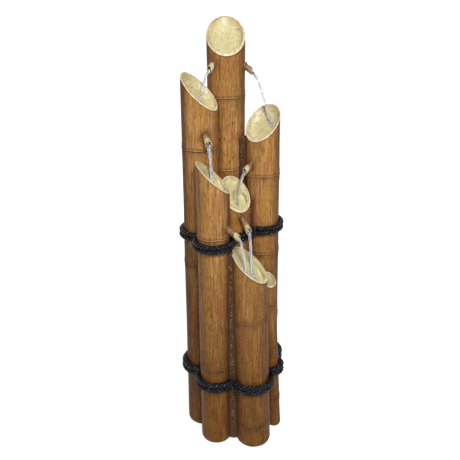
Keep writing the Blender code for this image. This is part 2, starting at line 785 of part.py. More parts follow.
def pump_housing():
    size = Vector((PUMP_WIDTH, PUMP_BODY_FRONT - PUMP_BODY_BACK, PUMP_HEIGHT))
    ob = add_object("pump_housing", box_mesh("pump_housing", size, (0.0, 0.0, 0.0)), "pump_plastic")
    ob.location = in_tall(0.0, (PUMP_BODY_FRONT + PUMP_BODY_BACK) / 2.0,
                          pump_bottom() + PUMP_HEIGHT / 2.0)
    bevel(ob, PUMP_EDGE, 2)
    stub = [(0.0, OUTLET_HEIGHT), (OUTLET_RADIUS - OUTLET_CHAMFER, OUTLET_HEIGHT),
            (OUTLET_RADIUS + OUTLET_BARB, OUTLET_HEIGHT - BARB_TOP),
            (OUTLET_RADIUS, OUTLET_HEIGHT - BARB_FOOT), (OUTLET_RADIUS, -NECK_ROOT),
            (0.0, -NECK_ROOT)]
    neck = cutter("pump_outlet_neck", turned_mesh("pump_outlet_neck", stub, 16))
    neck.location = in_tall(0.0, outlet_y(), pump_bottom() + PUMP_HEIGHT)
    cut(ob, neck, "UNION")
    back = outlet_y() - VOLUTE_DEPTH / 2.0
    well = [(0.0, DEEP_CUT), (VOLUTE_RADIUS, DEEP_CUT), (VOLUTE_RADIUS, 0.0), (ROTOR_WELL_RADIUS, 0.0),
            (ROTOR_WELL_RADIUS, -ROTOR_LENGTH - 2.0 * RUNNING_GAP),
            (SHAFT_RADIUS + CLEARANCE, -ROTOR_LENGTH - 2.0 * RUNNING_GAP),
            (SHAFT_RADIUS + CLEARANCE, -ROTOR_LENGTH - SHAFT_SEAT), (0.0, -ROTOR_LENGTH - SHAFT_SEAT)]
    hollow = cutter("pump_well", turned_mesh("pump_well", well, 20))
    hollow.matrix_local = along_y(0.0, back, pump_axis())
    cut(ob, hollow)
    drill = cutter("pump_outlet_bore", cylinder_mesh("pump_outlet_bore", OUTLET_BORE, DEEP_CUT, 12))
    drill.location = in_tall(0.0, outlet_y(), pump_axis() + 0.5 * VOLUTE_RADIUS)
    cut(ob, drill)
    for x, y in foot_places():
        socket = cutter(f"foot_socket_{x:+.3f}_{y:+.3f}",
                        cylinder_mesh("foot_socket", FOOT_STEM + CLEARANCE, SHALLOW_CUT, 10))
        socket.location = in_tall(x, y, pump_bottom() - SHALLOW_CUT / 2.0)
        cut(ob, socket)
    return ob


def foot_places():
    x = PUMP_WIDTH / 2.0 - PUMP_EDGE - FOOT_STEM - FOOT_FROM_EDGE
    middle = (PUMP_BODY_FRONT + PUMP_BODY_BACK) / 2.0
    y = (PUMP_BODY_FRONT - PUMP_BODY_BACK) / 2.0 - PUMP_EDGE - FOOT_STEM - FOOT_FROM_EDGE
    return [(sx * x, middle + sy * y) for sy in (-1.0, 1.0) for sx in (-1.0, 1.0)]


def pump_feet():
    """Four rubber suction feet whose stems stand in the housing's underside."""
    stem_top = FOOT_HEIGHT + FOOT_STEM_REACH
    profile = [(0.0, FOOT_CUP), (FOOT_RADIUS - FOOT_LIP, 0.0), (FOOT_RADIUS, FOOT_LIP_HEIGHT),
               (FOOT_NECK_RADIUS, FOOT_NECK_HEIGHT), (FOOT_SHOULDER_RADIUS, FOOT_HEIGHT),
               (FOOT_STEM, FOOT_HEIGHT), (FOOT_STEM, stem_top), (0.0, stem_top)]
    profile.reverse()
    for i, (x, y) in enumerate(foot_places()):
        ob = turned(f"pump_foot_{i + 1}", profile, 10, "rubber")
        ob.location = in_tall(x, y, FLOOR + CLEARANCE)


def volute_lid():
    """Disc that closes the impeller's chamber, with the intake and the shaft's front bush."""
    bush = SHAFT_RADIUS + CLEARANCE
    y = PUMP_BODY_FRONT + CLEARANCE
    radius = (PUMP_WIDTH / 2.0 - LID_MARGIN) * LID_SHARE
    ob = add_object("pump_volute_lid", cylinder_mesh("pump_volute_lid", radius, VOLUTE_LID, 24),
                    "pump_plastic")
    ob.matrix_local = along_y(0.0, y, pump_axis())
    bevel(ob, LID_EDGE)
    for i in range(INTAKE_COUNT):
        slot = cutter(f"intake_{i + 1}", box_mesh("intake", (INTAKE_LENGTH, INTAKE_WIDTH, THROUGH_CUT),
                                                  (0.0, 0.0, 0.0)))
        turn = Matrix.Rotation(math.radians(360.0 * i / INTAKE_COUNT + 90.0), 4, "Z")
        slot.matrix_local = (along_y(0.0, y, pump_axis()) @ turn
                             @ Matrix.Translation((INTAKE_RADIUS - INTAKE_INSET, 0.0, 0.0)))
        cut(ob, slot)
    hole = cutter("lid_bush", cylinder_mesh("lid_bush", bush, THROUGH_CUT, 12))
    hole.matrix_local = along_y(0.0, y - THROUGH_CUT / 2.0, pump_axis())
    cut(ob, hole)
    return ob


def pump_shaft():
    start = outlet_y() - VOLUTE_DEPTH / 2.0 - ROTOR_LENGTH - SHAFT_SEAT + CLEARANCE
    length = PUMP_BODY_FRONT + CLEARANCE + VOLUTE_LID - start
    ob = add_object("pump_shaft", cylinder_mesh("pump_shaft", SHAFT_RADIUS, length, 12), "ceramic")
    ob.matrix_local = along_y(0.0, start, pump_axis())
    shade(ob.data)
    return ob


def pump_rotor():
    """Magnet with the vaned impeller on its front end, turning on the shaft."""
    hole = SHAFT_RADIUS + RUNNING_GAP
    front = IMPELLER_BACKPLATE
    hub = HUB_RADIUS
    profile = [(hole, front + VANE_HEIGHT), (hub, front + VANE_HEIGHT), (hub, front),
               (IMPELLER_RADIUS, front), (IMPELLER_RADIUS, RUNNING_GAP),
               (ROTOR_RADIUS, RUNNING_GAP), (ROTOR_RADIUS, ROTOR_EDGE - ROTOR_LENGTH),
               (ROTOR_RADIUS - ROTOR_EDGE, -ROTOR_LENGTH), (hole, -ROTOR_LENGTH)]
    ob = turned("pump_rotor", profile, 20, "magnet", closed=True)
    base = outlet_y() - VOLUTE_DEPTH / 2.0 + RUNNING_GAP
    ob.matrix_local = along_y(0.0, base, pump_axis())
    length = IMPELLER_RADIUS - hub + VANE_OVERLAP
    for i in range(VANE_COUNT):
        vane = cutter(f"vane_{i + 1}", box_mesh("vane", (length, VANE_THICKNESS, VANE_HEIGHT),
                                                (0.0, 0.0, 0.0)))
        spin = Matrix.Rotation(2.0 * math.pi * i / VANE_COUNT, 4, "Z")
        lie = Matrix.Translation((hub + length / 2.0 - VANE_ROOT, 0.0,
                                  front + VANE_HEIGHT / 2.0 - VANE_OVERLAP))
        sweep = Matrix.Rotation(math.radians(VANE_SWEEP), 4, "Z")
        vane.matrix_local = along_y(0.0, base, pump_axis()) @ spin @ lie @ sweep
        cut(ob, vane, "UNION")
    return ob


def strainer_back():
    return PUMP_BODY_FRONT + CLEARANCE


def pump_strainer():
    """Slotted cage clipped over the pump's front, open towards the pump."""
    width = PUMP_WIDTH - STRAINER_INSET
    height = PUMP_HEIGHT - STRAINER_INSET
    middle = (0.0, 0.0, STRAINER_DEPTH / 2.0)
    ob = add_object("pump_strainer", box_mesh("pump_strainer", (width, height, STRAINER_DEPTH), middle),
                    "pump_plastic")
    seat = along_y(0.0, strainer_back(), pump_axis())
    ob.matrix_local = seat
    bevel(ob, STRAINER_EDGE)
    inner = (width - 2.0 * STRAINER_WALL, height - 2.0 * STRAINER_WALL, STRAINER_DEPTH)
    hollow = cutter("strainer_hollow", box_mesh("strainer_hollow", inner,
                                                (0.0, 0.0, STRAINER_DEPTH / 2.0 - STRAINER_WALL)))
    hollow.matrix_local = seat
    cut(ob, hollow)
    step = (height - STRAINER_END_SHARE * STRAINER_WALL) / STRAINER_SLOTS
    for i in range(STRAINER_SLOTS):
        y = (i - (STRAINER_SLOTS - 1) / 2.0) * step
        for side in (-1.0, 1.0):
            if abs(y) < DIAL_RADIUS + DIAL_ROOM:
                inner_end = DIAL_RADIUS + DIAL_BORDER
            else:
                inner_end = STRAINER_MIDDLE_BAR
            outer_end = width / 2.0 - STRAINER_SIDE_SHARE * STRAINER_WALL
            length = outer_end - inner_end
            slot = cutter(f"strainer_slot_{i}_{side:+.0f}",
                          box_mesh("strainer_slot", (length, STRAINER_SLOT_WIDTH, SHALLOW_CUT),
                                   (side * (inner_end + length / 2.0), y, STRAINER_DEPTH)))
            slot.matrix_local = seat
            cut(ob, slot)
    hole = cutter("dial_pivot_hole", cylinder_mesh("dial_pivot_hole", DIAL_PIVOT + CLEARANCE,
                                                    THROUGH_CUT, 12))
    hole.matrix_local = along_y(0.0, strainer_back() - THROUGH_CUT / 10.0, pump_axis())
    cut(ob, hole)
    return ob


def flow_dial():
    """Disc with a finger rib that turns on the strainer's front to set the flow."""
    pivot_end = -STRAINER_WALL - DIAL_PIVOT_REACH
    profile = [(0.0, DIAL_THICKNESS), (DIAL_RADIUS - DIAL_EDGE, DIAL_THICKNESS),
               (DIAL_RADIUS, DIAL_THICKNESS - DIAL_EDGE), (DIAL_RADIUS, 0.0), (DIAL_PIVOT, 0.0),
               (DIAL_PIVOT, pivot_end), (0.0, pivot_end)]
    ob = turned("pump_flow_dial", profile, 20, "pump_plastic")
    seat = along_y(0.0, strainer_back() + STRAINER_DEPTH + CLEARANCE, pump_axis())
    ob.matrix_local = seat
    size = (2.0 * DIAL_RADIUS - DIAL_RIB_SHORTER, DIAL_RIB_WIDTH, DIAL_RIB + DIAL_RIB_ROOT)
    middle = (0.0, 0.0, DIAL_THICKNESS + DIAL_RIB / 2.0 - DIAL_RIB_ROOT)
    bar = cutter("dial_rib", box_mesh("dial_rib", size, middle))
    bar.matrix_local = seat
    cut(ob, bar, "UNION")
    return ob


def hose_radius():
    return OUTLET_RADIUS + OUTLET_BARB + CLEARANCE + HOSE_WALL


def plate_top():
    lowest = min(spout_height(TALL, TALL_LEFT_SPOUT), spout_height(TALL, TALL_RIGHT_SPOUT))
    return lowest - PLATE_DROP + PLATE_THICKNESS


def riser_hose():
    """Clear hose from the pump's outlet up to the header chamber."""
    outer = hose_radius()
    inner = outer - HOSE_WALL
    bottom = pump_bottom() + PUMP_HEIGHT + HOSE_START_ABOVE_PUMP + CLEARANCE
    top = plate_top() + HOSE_END_ABOVE_PLATE
    profile = [(inner, bottom), (inner, top), (outer, top), (outer, bottom)]
    ob = turned("riser_hose", profile, 16, "clear_plastic", closed=True)
    ob.location = in_tall(0.0, outlet_y(), 0.0)
    return ob


def hose_clip():
    """Spring clip round the hose, with two finger tabs."""
    inner = hose_radius() + CLEARANCE
    outer = inner + CLIP_WALL
    profile = [(inner, 0.0), (inner, CLIP_HEIGHT), (outer, CLIP_HEIGHT), (outer, 0.0)]
    ob = turned("hose_clip", profile, 16, "steel", closed=True)
    seat = in_tall(0.0, outlet_y(), outlet_top() - CLIP_BELOW_OUTLET)
    ob.location = seat
    for side in (-1.0, 1.0):
        middle = (side * CLIP_TAB_APART, -outer - CLIP_TAB / 2.0 + CLIP_TAB_ROOT, CLIP_HEIGHT / 2.0)
        tab = cutter(f"clip_tab_{side:+.0f}",
                     box_mesh("clip_tab", (CLIP_WALL, CLIP_TAB, CLIP_HEIGHT), middle))
        tab.location = seat
        cut(ob, tab, "UNION")
    return ob


def header_plate():
    """Disc on a ledge in the tall culm: the floor of the chamber behind the two top spouts."""
    ob = add_object("header_plate", cylinder_mesh("header_plate", bore(TALL) - CLEARANCE,
                                                  PLATE_THICKNESS, CULM_SIDES), "pump_plastic")
    ob.location = in_tall(0.0, 0.0, plate_top() - PLATE_THICKNESS)
    turn = Matrix.Rotation(math.radians(90.0), 4, "Z")
    ob.data.transform(turn)
    hole = cutter("plate_hole", cylinder_mesh("plate_hole", grommet_waist() + CLEARANCE,
                                              THROUGH_CUT, 16))
    hole.location = in_tall(0.0, outlet_y(), plate_top() - THROUGH_CUT / 2.0)
    cut(ob, hole)
    return ob


def grommet_waist():
    return hose_radius() + CLEARANCE + GROMMET_LIP


def header_grommet():
    """Rubber grommet that seals the hose in the plate."""
    inner = hose_radius() + CLEARANCE
    waist = grommet_waist()
    wide = waist + GROMMET_FLANGE
    half = PLATE_THICKNESS / 2.0 + CLEARANCE
    lip = half + GROMMET_LIP_HEIGHT
    profile = [(inner, -lip), (inner, lip), (wide - GROMMET_EDGE, lip), (wide, half), (waist, half),
               (waist, -half), (wide, -half), (wide - GROMMET_EDGE, -lip)]
    ob = turned("header_grommet", profile, 16, "rubber", closed=True)
    ob.location = in_tall(0.0, outlet_y(), plate_top() - PLATE_THICKNESS / 2.0)
    return ob


def return_ends():
    """Ends of the return pipe, each a little inside the wall that it passes."""
    near = axis_at(FRONT_RIGHT, RETURN_HEIGHT)
    far = axis_at(TALL, RETURN_HEIGHT)
    way = (far - near).normalized()
    return (near + way * (bore(FRONT_RIGHT) - RETURN_INSIDE),
            far - way * (bore(TALL) - PLATE_LEDGE - RETURN_INSIDE))


def return_pipe(wall_pieces):
    start, end = return_ends()
    length = (end - start).length
    inner = RETURN_RADIUS - RETURN_WALL
    profile = [(inner, 0.0), (inner, length), (RETURN_RADIUS, length), (RETURN_RADIUS, 0.0)]
    ob = turned("return_pipe", profile, 16, "clear_plastic", closed=True)
    seat = frame_along(start, end - start)
    ob.matrix_local = seat
    hole = cutter("return_hole", cylinder_mesh("return_hole", RETURN_RADIUS + CLEARANCE, length, 16))
    hole.matrix_local = seat
    for piece in wall_pieces:
        cut(piece, hole)
    return ob


def wall_patch(name, low, high, offset, thickness, material):
    """A curved plate that follows the tall culm's back, from one height to another."""
    profile = [(radius_at(TALL, high) + offset, high), (radius_at(TALL, low) + offset, low)]
    steps = round(2.0 * COVER_HALF_ANGLE * CULM_SIDES / 360.0)
    mesh = turned_mesh(name, profile, steps, angle=2.0 * COVER_HALF_ANGLE)
    mesh.transform(Matrix.Rotation(math.radians(90.0 - COVER_HALF_ANGLE), 4, "Z"))
    mesh.name = name
    shade(mesh)
    ob = add_object(name, mesh, material)
    ob.location = in_tall(0.0, 0.0, 0.0)
    shell = ob.modifiers.new("Solidify", "SOLIDIFY")
    shell.thickness = thickness
    shell.offset = 1.0
    shell.use_even_offset = True
    return ob


def screw_heights():
    inset = COVER_MARGIN / 2.0
    return (ACCESS_BOTTOM - inset, ACCESS_TOP + inset)


def access_cover(tall):
    """Curved cover and gasket over the opening behind the pump, with two screws."""
    low = ACCESS_BOTTOM - COVER_MARGIN
    high = ACCESS_TOP + COVER_MARGIN
    opening = cutter("access_opening",
                     box_mesh("access_opening",
                              (ACCESS_WIDTH, TALL["foot"], ACCESS_TOP - ACCESS_BOTTOM),
                              (0.0, TALL["foot"] * OPENING_OUT_SHARE,
                               (ACCESS_TOP + ACCESS_BOTTOM) / 2.0)))
    opening.location = in_tall(0.0, 0.0, 0.0)
    cut(tall, opening)
    gasket = wall_patch("cover_gasket", low, high, CLEARANCE, GASKET_THICKNESS, "rubber")
    cut(gasket, opening)
    outside = 2.0 * CLEARANCE + GASKET_THICKNESS
    cover = wall_patch("access_cover", low, high, outside, COVER_THICKNESS, "bamboo")
    for i, z in enumerate(screw_heights()):
        face = radius_at(TALL, z) + outside + COVER_THICKNESS
        head = face + CLEARANCE + SCREW_HEAD_HEIGHT
        shank = -(COVER_THICKNESS + GASKET_THICKNESS + 3.0 * CLEARANCE + TALL["wall"])
        profile = [(0.0, SCREW_HEAD_HEIGHT), (SCREW_HEAD_RADIUS * SCREW_DOME_SHARE, SCREW_HEAD_HEIGHT),
                   (SCREW_HEAD_RADIUS, SCREW_HEAD_HEIGHT / 2.0), (SCREW_HEAD_RADIUS, 0.0),
                   (SCREW_RADIUS, 0.0), (SCREW_RADIUS, shank + SCREW_POINT_LENGTH),
                   (SCREW_POINT_RADIUS, shank), (0.0, shank)]
        ob = turned(f"cover_screw_{i + 1}", profile, 12, "steel")
        seat = along_y(0.0, face + CLEARANCE, z)
        ob.matrix_local = seat
        slot = cutter(f"screw_slot_{i + 1}",
                      box_mesh("screw_slot", (SCREW_SLOT_LENGTH, SCREW_SLOT, SCREW_SLOT * 2.0),
                               (0.0, 0.0, SCREW_HEAD_HEIGHT)))
        slot.matrix_local = seat
        cut(ob, slot)
        hole = cutter(f"screw_hole_{i + 1}", cylinder_mesh("screw_hole", SCREW_RADIUS + CLEARANCE,
                                                           WALL_CUT, 12))
        hole.matrix_local = along_y(0.0, head - SCREW_CUT_BEHIND, z)
        for piece in (tall, gasket, cover):
            cut(piece, hole)
    return cover


def cord_gland(tall):
    """Rubber gland in the tall culm's back."""
    wall_out = radius_at(TALL, GLAND_HEIGHT)
    wall_in = bore(TALL) - PLATE_LEDGE
    face = CLEARANCE
    back = wall_in - wall_out - GLAND_INSIDE
    profile = [(GLAND_BORE, back), (GLAND_BORE, face + GLAND_FLANGE),
               (GLAND_RADIUS + GLAND_LIP - GLAND_EDGE, face + GLAND_FLANGE),
               (GLAND_RADIUS + GLAND_LIP, face + GLAND_FLANGE - GLAND_EDGE),
               (GLAND_RADIUS + GLAND_LIP, face), (GLAND_RADIUS, face), (GLAND_RADIUS, back)]
    ob = turned("cord_gland", profile, 16, "rubber", closed=True)
    ob.matrix_local = along_y(0.0, wall_out, GLAND_HEIGHT)
    hole = cutter("gland_hole", cylinder_mesh("gland_hole", GLAND_RADIUS + CLEARANCE, WALL_CUT, 16))
    hole.matrix_local = along_y(0.0, wall_out - WALL_CUT / 2.0, GLAND_HEIGHT)
    cut(tall, hole)
    return ob


def centre_bundle():
    """Put the bundle's bottom centre on the origin."""
    bpy.context.view_layer.update()
    deps = bpy.context.evaluated_depsgraph_get()
    low = Vector((9.0, 9.0, 0.0))
    high = Vector((-9.0, -9.0, 0.0))
    for ob in PARTS.objects:
        if ob.type == "EMPTY":
            continue
        seen = ob.evaluated_get(deps)
        mesh = seen.to_mesh()
        for v in mesh.vertices:
            p = ob.matrix_world @ v.co
            for k in (0, 1):
                low[k] = min(low[k], p[k])
                high[k] = max(high[k], p[k])
        seen.to_mesh_clear()
    FRAME.location = (-(low.x + high.x) / 2.0, -(low.y + high.y) / 2.0, 0.0)
    bpy.context.view_layer.update()


def build():
    culms = {"tall": TALL, "left": LEFT, "right": RIGHT, "front_left": FRONT_LEFT,
             "centre": CENTRE, "front_right": FRONT_RIGHT, "thin": THIN}
    for name, spec in culms.items():
        spec["name"] = name
    lay_out_bundle()
    floors = {"front_right": FLOOR,
              "left": spout_height(LEFT, LEFT_SPOUT) - DIAPHRAGM_DROP,
              "right": spout_height(RIGHT, RIGHT_SPOUT) - DIAPHRAGM_DROP,
              "front_left": spout_height(FRONT_LEFT, FRONT_LEFT_SPOUT) - DIAPHRAGM_DROP,
              "centre": spout_height(CENTRE, CENTRE_SPOUT) - DIAPHRAGM_DROP,
              "thin": THIN["nodes"][0] * THIN["mouth"]}
    walls = {}
    for name, spec in culms.items():
        if spec is TALL:
            walls[name], foot = tall_lengths(spec)
        else:
            walls[name] = culm(name + "_culm", spec, floors[name])
        bowl(name + "_bowl", spec)
    spouts = (("tall_left_spout", "tall", TALL_LEFT_SPOUT),
              ("tall_right_spout", "tall", TALL_RIGHT_SPOUT),
              ("left_spout", "left", LEFT_SPOUT), ("right_spout", "right", RIGHT_SPOUT),
              ("front_left_spout", "front_left", FRONT_LEFT_SPOUT),
              ("centre_spout", "centre", CENTRE_SPOUT))
    for name, owner, data in spouts:
        spout(name, culms[owner], data, walls[owner])
    for name, height in (("high_rope", HIGH_ROPE_HEIGHT), ("low_rope", LOW_ROPE_HEIGHT)):
        rope(name, ring_at(culms.values(), height), height)
    skins = {name: culm_skin(name + "_skin", spec, CLEARANCE) for name, spec in culms.items()}
    filler("front_filler", (CENTRE, FRONT_LEFT, FRONT_RIGHT), FRONT_FILLER_TOP, skins)
    filler("right_filler", (CENTRE, FRONT_RIGHT, THIN, RIGHT), RIGHT_FILLER_TOP, skins)
    filler("rear_filler", (CENTRE, RIGHT, TALL), REAR_FILLER_TOP, skins)
    filler("left_filler", (CENTRE, TALL, LEFT, FRONT_LEFT), LEFT_FILLER_TOP, skins)
    pump_housing()
    pump_feet()
    volute_lid()
    pump_shaft()
    pump_rotor()
    pump_strainer()
    flow_dial()
    riser_hose()
    hose_clip()
    header_plate()
    header_grommet()
    return_pipe([foot, walls["centre"], walls["front_right"]])
    access_cover(foot)
    cord_gland(foot)
    centre_bundle()


clear_scene()
make_materials()
PARTS = new_collection("bamboo_water_spout")
CUTTERS = new_collection("cutters")
FRAME = bpy.data.objects.new("bundle_frame", None)
PARTS.objects.link(FRAME)
build()
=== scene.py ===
"""Looks of the bamboo water spout: stained culms, cream bowls, branch spouts, black rope, water.

Places and sizes come from the frame, in metres, +Z up, front towards -Y.
"""

import json
import math
from collections import defaultdict
from types import SimpleNamespace

import bpy
import numpy as np
from mathutils import Matrix, Vector, noise
from mathutils.kdtree import KDTree


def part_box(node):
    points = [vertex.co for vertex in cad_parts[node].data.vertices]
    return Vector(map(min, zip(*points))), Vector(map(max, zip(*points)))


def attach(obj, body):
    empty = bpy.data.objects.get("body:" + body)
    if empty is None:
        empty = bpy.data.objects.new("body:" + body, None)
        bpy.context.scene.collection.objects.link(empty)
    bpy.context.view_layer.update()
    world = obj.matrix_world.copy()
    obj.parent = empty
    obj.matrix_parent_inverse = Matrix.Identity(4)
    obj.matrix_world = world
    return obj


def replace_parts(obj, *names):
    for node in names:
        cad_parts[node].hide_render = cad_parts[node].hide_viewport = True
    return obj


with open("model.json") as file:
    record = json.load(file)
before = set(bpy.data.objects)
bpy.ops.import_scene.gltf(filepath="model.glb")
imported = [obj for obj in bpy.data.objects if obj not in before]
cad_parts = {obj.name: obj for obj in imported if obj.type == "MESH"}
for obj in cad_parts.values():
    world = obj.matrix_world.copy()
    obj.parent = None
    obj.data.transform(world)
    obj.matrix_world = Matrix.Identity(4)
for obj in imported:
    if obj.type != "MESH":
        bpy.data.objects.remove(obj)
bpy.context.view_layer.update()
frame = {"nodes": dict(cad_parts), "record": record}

ROOT = "fountain"
UP = Vector((0, 0, 1))
BACK = Vector((0, 1, 0))
HIGH_ROPE_RING = ("tall", "left", "front_left", "centre", "right")
LOW_ROPE_RING = ("tall", "left", "front_left", "front_right", "thin", "right")

# Camera, from the photograph's perspective
CAMERA_PLACE = (-0.0043, -1.1221, 0.9447)
CAMERA_PITCH = 0.4134
CAMERA_ROLL = -0.0055
FOCAL_LENGTH = 49.68
SENSOR = 36

# What a culm and its bowl are like, unless the next table says otherwise: stain is the
# painted shade that darkens the foot and sides that on the two edges, nudges and tilt shift the
# node rings, ledge is the share of the bowl's width that its deep hollow takes, and shade is
# painted shade over the whole hollow
CULM_LOOK = dict(wall=0.003, stain=1, top_stain=None, sides=(0.5, 0.5), nudges=None,
                 tilt=0, gold_turn=0, ledge=None, drain_pull=1, shade=0)
CULM_LOOKS = {
    "tall": dict(wall=0.0033, top_stain=(0.68, 0.26), sides=(0.6, 0.72), tilt=0.001,
                 dish_shift=(0.003, 0), rim_shift=(-0.001, 0.0004)),
    "left": dict(stain=1.6, sides=(0.95, 0.35), gold_turn=-0.15,
                 dish_shift=(0.003, -0.001), rim_shift=(0, 0.0004)),
    "right": dict(stain=1.25, sides=(0.45, 0.8),
                  dish_shift=(0.005, 0.002), rim_shift=(0.001, 0)),
    "front_left": dict(stain=0.95, sides=(0.35, 0.9), nudges=(0, -0.007), gold_turn=0.3,
                       ledge=0.72, dish_shift=(0.006, -0.003), rim_shift=(0, 0.0003)),
    "centre": dict(ledge=0.56, drain_pull=0.7,
                   dish_shift=(0.0116, -0.002), rim_shift=(0.0002, 0.0004)),
    "front_right": dict(stain=0.95, sides=(0.35, 0.62), nudges=(0.003, 0.004), tilt=0.0035,
                        ledge=0.74, drain_pull=0.9, shade=0.12,
                        dish_shift=(0.0115, -0.0045), rim_shift=(-0.0008, 0.0006)),
    "thin": dict(wall=0.002, shade=0.75, dish_shift=(0.0015, 0), rim_shift=(-0.0003, 0))}

# Measuring the frame: how far points may stray from the ring, edge or end that they belong to
LEVEL_STEP = 0.0001
RING_POINTS = 12
OUT_OF_ROUND = 0.0008
PLAIN_SLACK = 0.0006
PLAIN_START = 0.0045
FIT_SLACK = 0.0004
NODE_SWELLING = 0.0007
EDGE_SLACK = 0.0008
EDGE_NEAR = 0.0015
TIP_SLACK = 0.0004
ROOT_SLACK = 0.0012

# Culms
AROUND = 96
ROW_HEIGHT = 0.007
RING_ROW_HEIGHT = 0.0008
RING_REACH = 0.01
CUT_ROWS = 18
CUT_BLEND = 0.012
CULM_WOBBLE = 0.00035
WAIST = 0.00035
RING_WAVE = 0.0015
RIM_DROP = 0.0023
FOOT_ANGLES = (0, 18, 36, 54, 72)
FOOT_HEIGHT = 0.0085
FOOT_INSET = 0.006
FLOOR_THICKNESS = 0.004
# Swelling of a node and its scars: height, place and width of each ridge, groove or line
NODE_SHAPE = ((0.0009, 0, 0.001), (-0.0004, 0.0024, 0.001), (0.0006, 0.006, 0.003),
              (0.0004, -0.007, 0.006))
SCAR_LINES = ((1.15, -0.0009, 0.0009), (0.5, 0.0026, 0.0008))
# Painted shade: towards the foot, in the grooves between culms, on the culms' two sides and round
# the spouts' roots
SHADE_TOP = 0.58
SHADE_BOTTOM = 0.06
CREVICE_SHADE = 0.86
CREVICE_GAPS = (0.001, 0.016)
SIDE_START = 0.48
SIDE_END = 0.98
ROOT_SHADE = 1.15
ROOT_SHADE_REACH = 0.0125
ROOT_DEPTH = 0.0075
# Golden stripes round each culm, one facing the front: partly the bamboo's tone, partly a painted
# highlight
GOLD_HIGHLIGHT_STRIPES = 3
PITS = 0.35
TALL_PITS = 0.65
TALL_PITS_HEIGHT = 0.625
TALL_PITS_REACH = 0.065

# Bowls
BOWL_AROUND = 96
BOWL_PLAY = 0.0003
BOWL_DEPTH_SHARE = 0.55
BOWL_ROUNDNESS = 4
BOWL_SHELL = 0.0024
RIM_HEIGHT = 0.002
RIM_INSET = -0.0003
DRAIN_RADIUS = 0.0016
LEDGE_DEPTH = 0.003
DISH_SHARES = (0.04, 0.12, 0.2, 0.3, 0.4, 0.5, 0.6, 0.68, 0.76, 0.83, 0.89, 0.94, 0.97)
UNDER_SHARES = (0.88, 0.75, 0.6, 0.4, 0.2, 0.04)

# Spouts
STUB_SIDES = 40
STUB_STEPS = 30
STUB_RADIUS = 0.0056
STUB_COLLAR = 0.0016
# Rings of the cut end: distance from the cut, radius, and how far inside the bore, which sets
# the ring's painted shade
STUB_END = ((0.003, 0.0058, 0), (0.0014, 0.0059, 0), (0.0006, 0.0059, 0),
            (0.0001, 0.0056, 0), (0, 0.0051, 0), (0.0003, 0.0047, 0.3),
            (0.0012, 0.0044, 0.7), (0.004, 0.0042, 1), (0.008, 0.0041, 1))

# Rope
ROPE_RADIUS = 0.0045
ROPE_PITCH = 0.0096
ROPE_CLEARANCE = 0.0001
ROPE_DIP_RADIUS = 0.008
ROPE_STEP = 0.0012
ROPE_SCALES = {"high_rope": 1, "low_rope": 1.2}
STRANDS = 4
STRAND_SIDES = 10
STRAND_RADIUS = 0.0023
STRAND_REACH = 0.0024
YARNS = 5
YARN_LAY = 1500
ROPE_SAG = 0.0015
ROPE_LAY = 0.027

# Mortar: the culms beside each bead, its foot, top and depth; only the middle of a bead is bare
# of the painted shade that matches the culms' shaded sides
GROOVES = (("front_left", "front_right", 0.001, 0.436, 0.0125),
           ("tall", "right", 0.3, 0.625, 0.012), ("left", "front_left", 0.045, 0.5, 0.008),
           ("tall", "left", 0.045, 0.6, 0.01), ("front_left", "centre", 0.412, 0.5, 0.007),
           ("centre", "right", 0.3, 0.5, 0.007), ("front_right", "thin", 0.045, 0.33, 0.004),
           ("thin", "right", 0.045, 0.32, 0.004))
MORTAR_ROW = 0.001
MORTAR_ACROSS = 15
MORTAR_BARE = 0.0016
MORTAR_BLEND = 0.001

# Access panel at the back, its screws, and the gland for the cord
PANEL_HALF_ANGLE = 45
PANEL_THICKNESS = 0.0024
PANEL_CORNER = 0.006
PANEL_EDGE = 0.0007
CORNER_STEPS = 10
EDGE_STEPS = 14
PANEL_SCALES = (0.03, 0.2, 0.4, 0.6, 0.8, 0.94)
PANEL_BACK_SCALES = (1, 0.94, 0.6, 0.2, 0.03)
OPENING_MARGIN = 0.011
OPENING_WIDTH = 0.041
SCREW_HEAD = ((0.0001, 0), (0.0012, -0.00004), (0.0022, -0.0003), (0.0029, -0.0008),
              (0.0033, -0.0014), (0.0034, -0.0018), (0.0032, -0.002), (0.0015, -0.002))
SCREW_PITCH = 0.0003
BACK_HOLES = {"cover_screw_1": 0.0018, "cover_screw_2": 0.0018, "cord_gland": 0.0062}

# Each spout: length of its bared end, speed, radius and taper of its water, and width and end,
# from the middle of the bowl, of the run of water where it lands
SPOUT_LOOK = dict(pale_end=0.0085, taper=0.25)
SPOUT_LOOKS = {
    "tall_left": dict(owner="tall", catcher="left", speed=0.36, radius=0.0025,
                      run_width=0.0032, run_end=(0.003, -0.0085)),
    "tall_right": dict(owner="tall", catcher="right", speed=0.33, radius=0.003, taper=0.12,
                       pale_end=0.0012, run_width=0.0046, run_end=(0.019, -0.005)),
    "left": dict(owner="left", catcher="front_left", speed=0.18, radius=0.0029,
                 run_width=0.003, run_end=(0.004, -0.004)),
    "right": dict(owner="right", catcher="centre", speed=0.23, radius=0.0031, taper=0.62,
                  run_width=0.0036, run_end=(0.001, -0.016)),
    "front_left": dict(owner="front_left", catcher="front_right", speed=0.17, radius=0.003,
                       taper=0.5, run_width=0.0046, run_end=(0.008, -0.024)),
    "centre": dict(owner="centre", catcher="front_right", speed=0.13, radius=0.0033,
                   taper=0.5, run_width=0.004, run_end=(0.0135, -0.006))}
GRAVITY = 9.81
FALL_STEP = 0.0018
FALL_END = 0.4
WATER_SIDES = 28
WATER_SQUASH = 0.72
RUN_STEPS = 56
RUN_ACROSS = 15
# How see-through the water is where it leaves a spout
LIP_CLEARNESS = 0.5

# Studio
FLOOR_GLOW_NEAR = 0.7
FLOOR_GLOW_FAR = 1
FLOOR_GLOW_REACH = (0.5, 2.2)
WORLD_LIGHT = 0.13
WHITE = (1, 1, 1, 1)


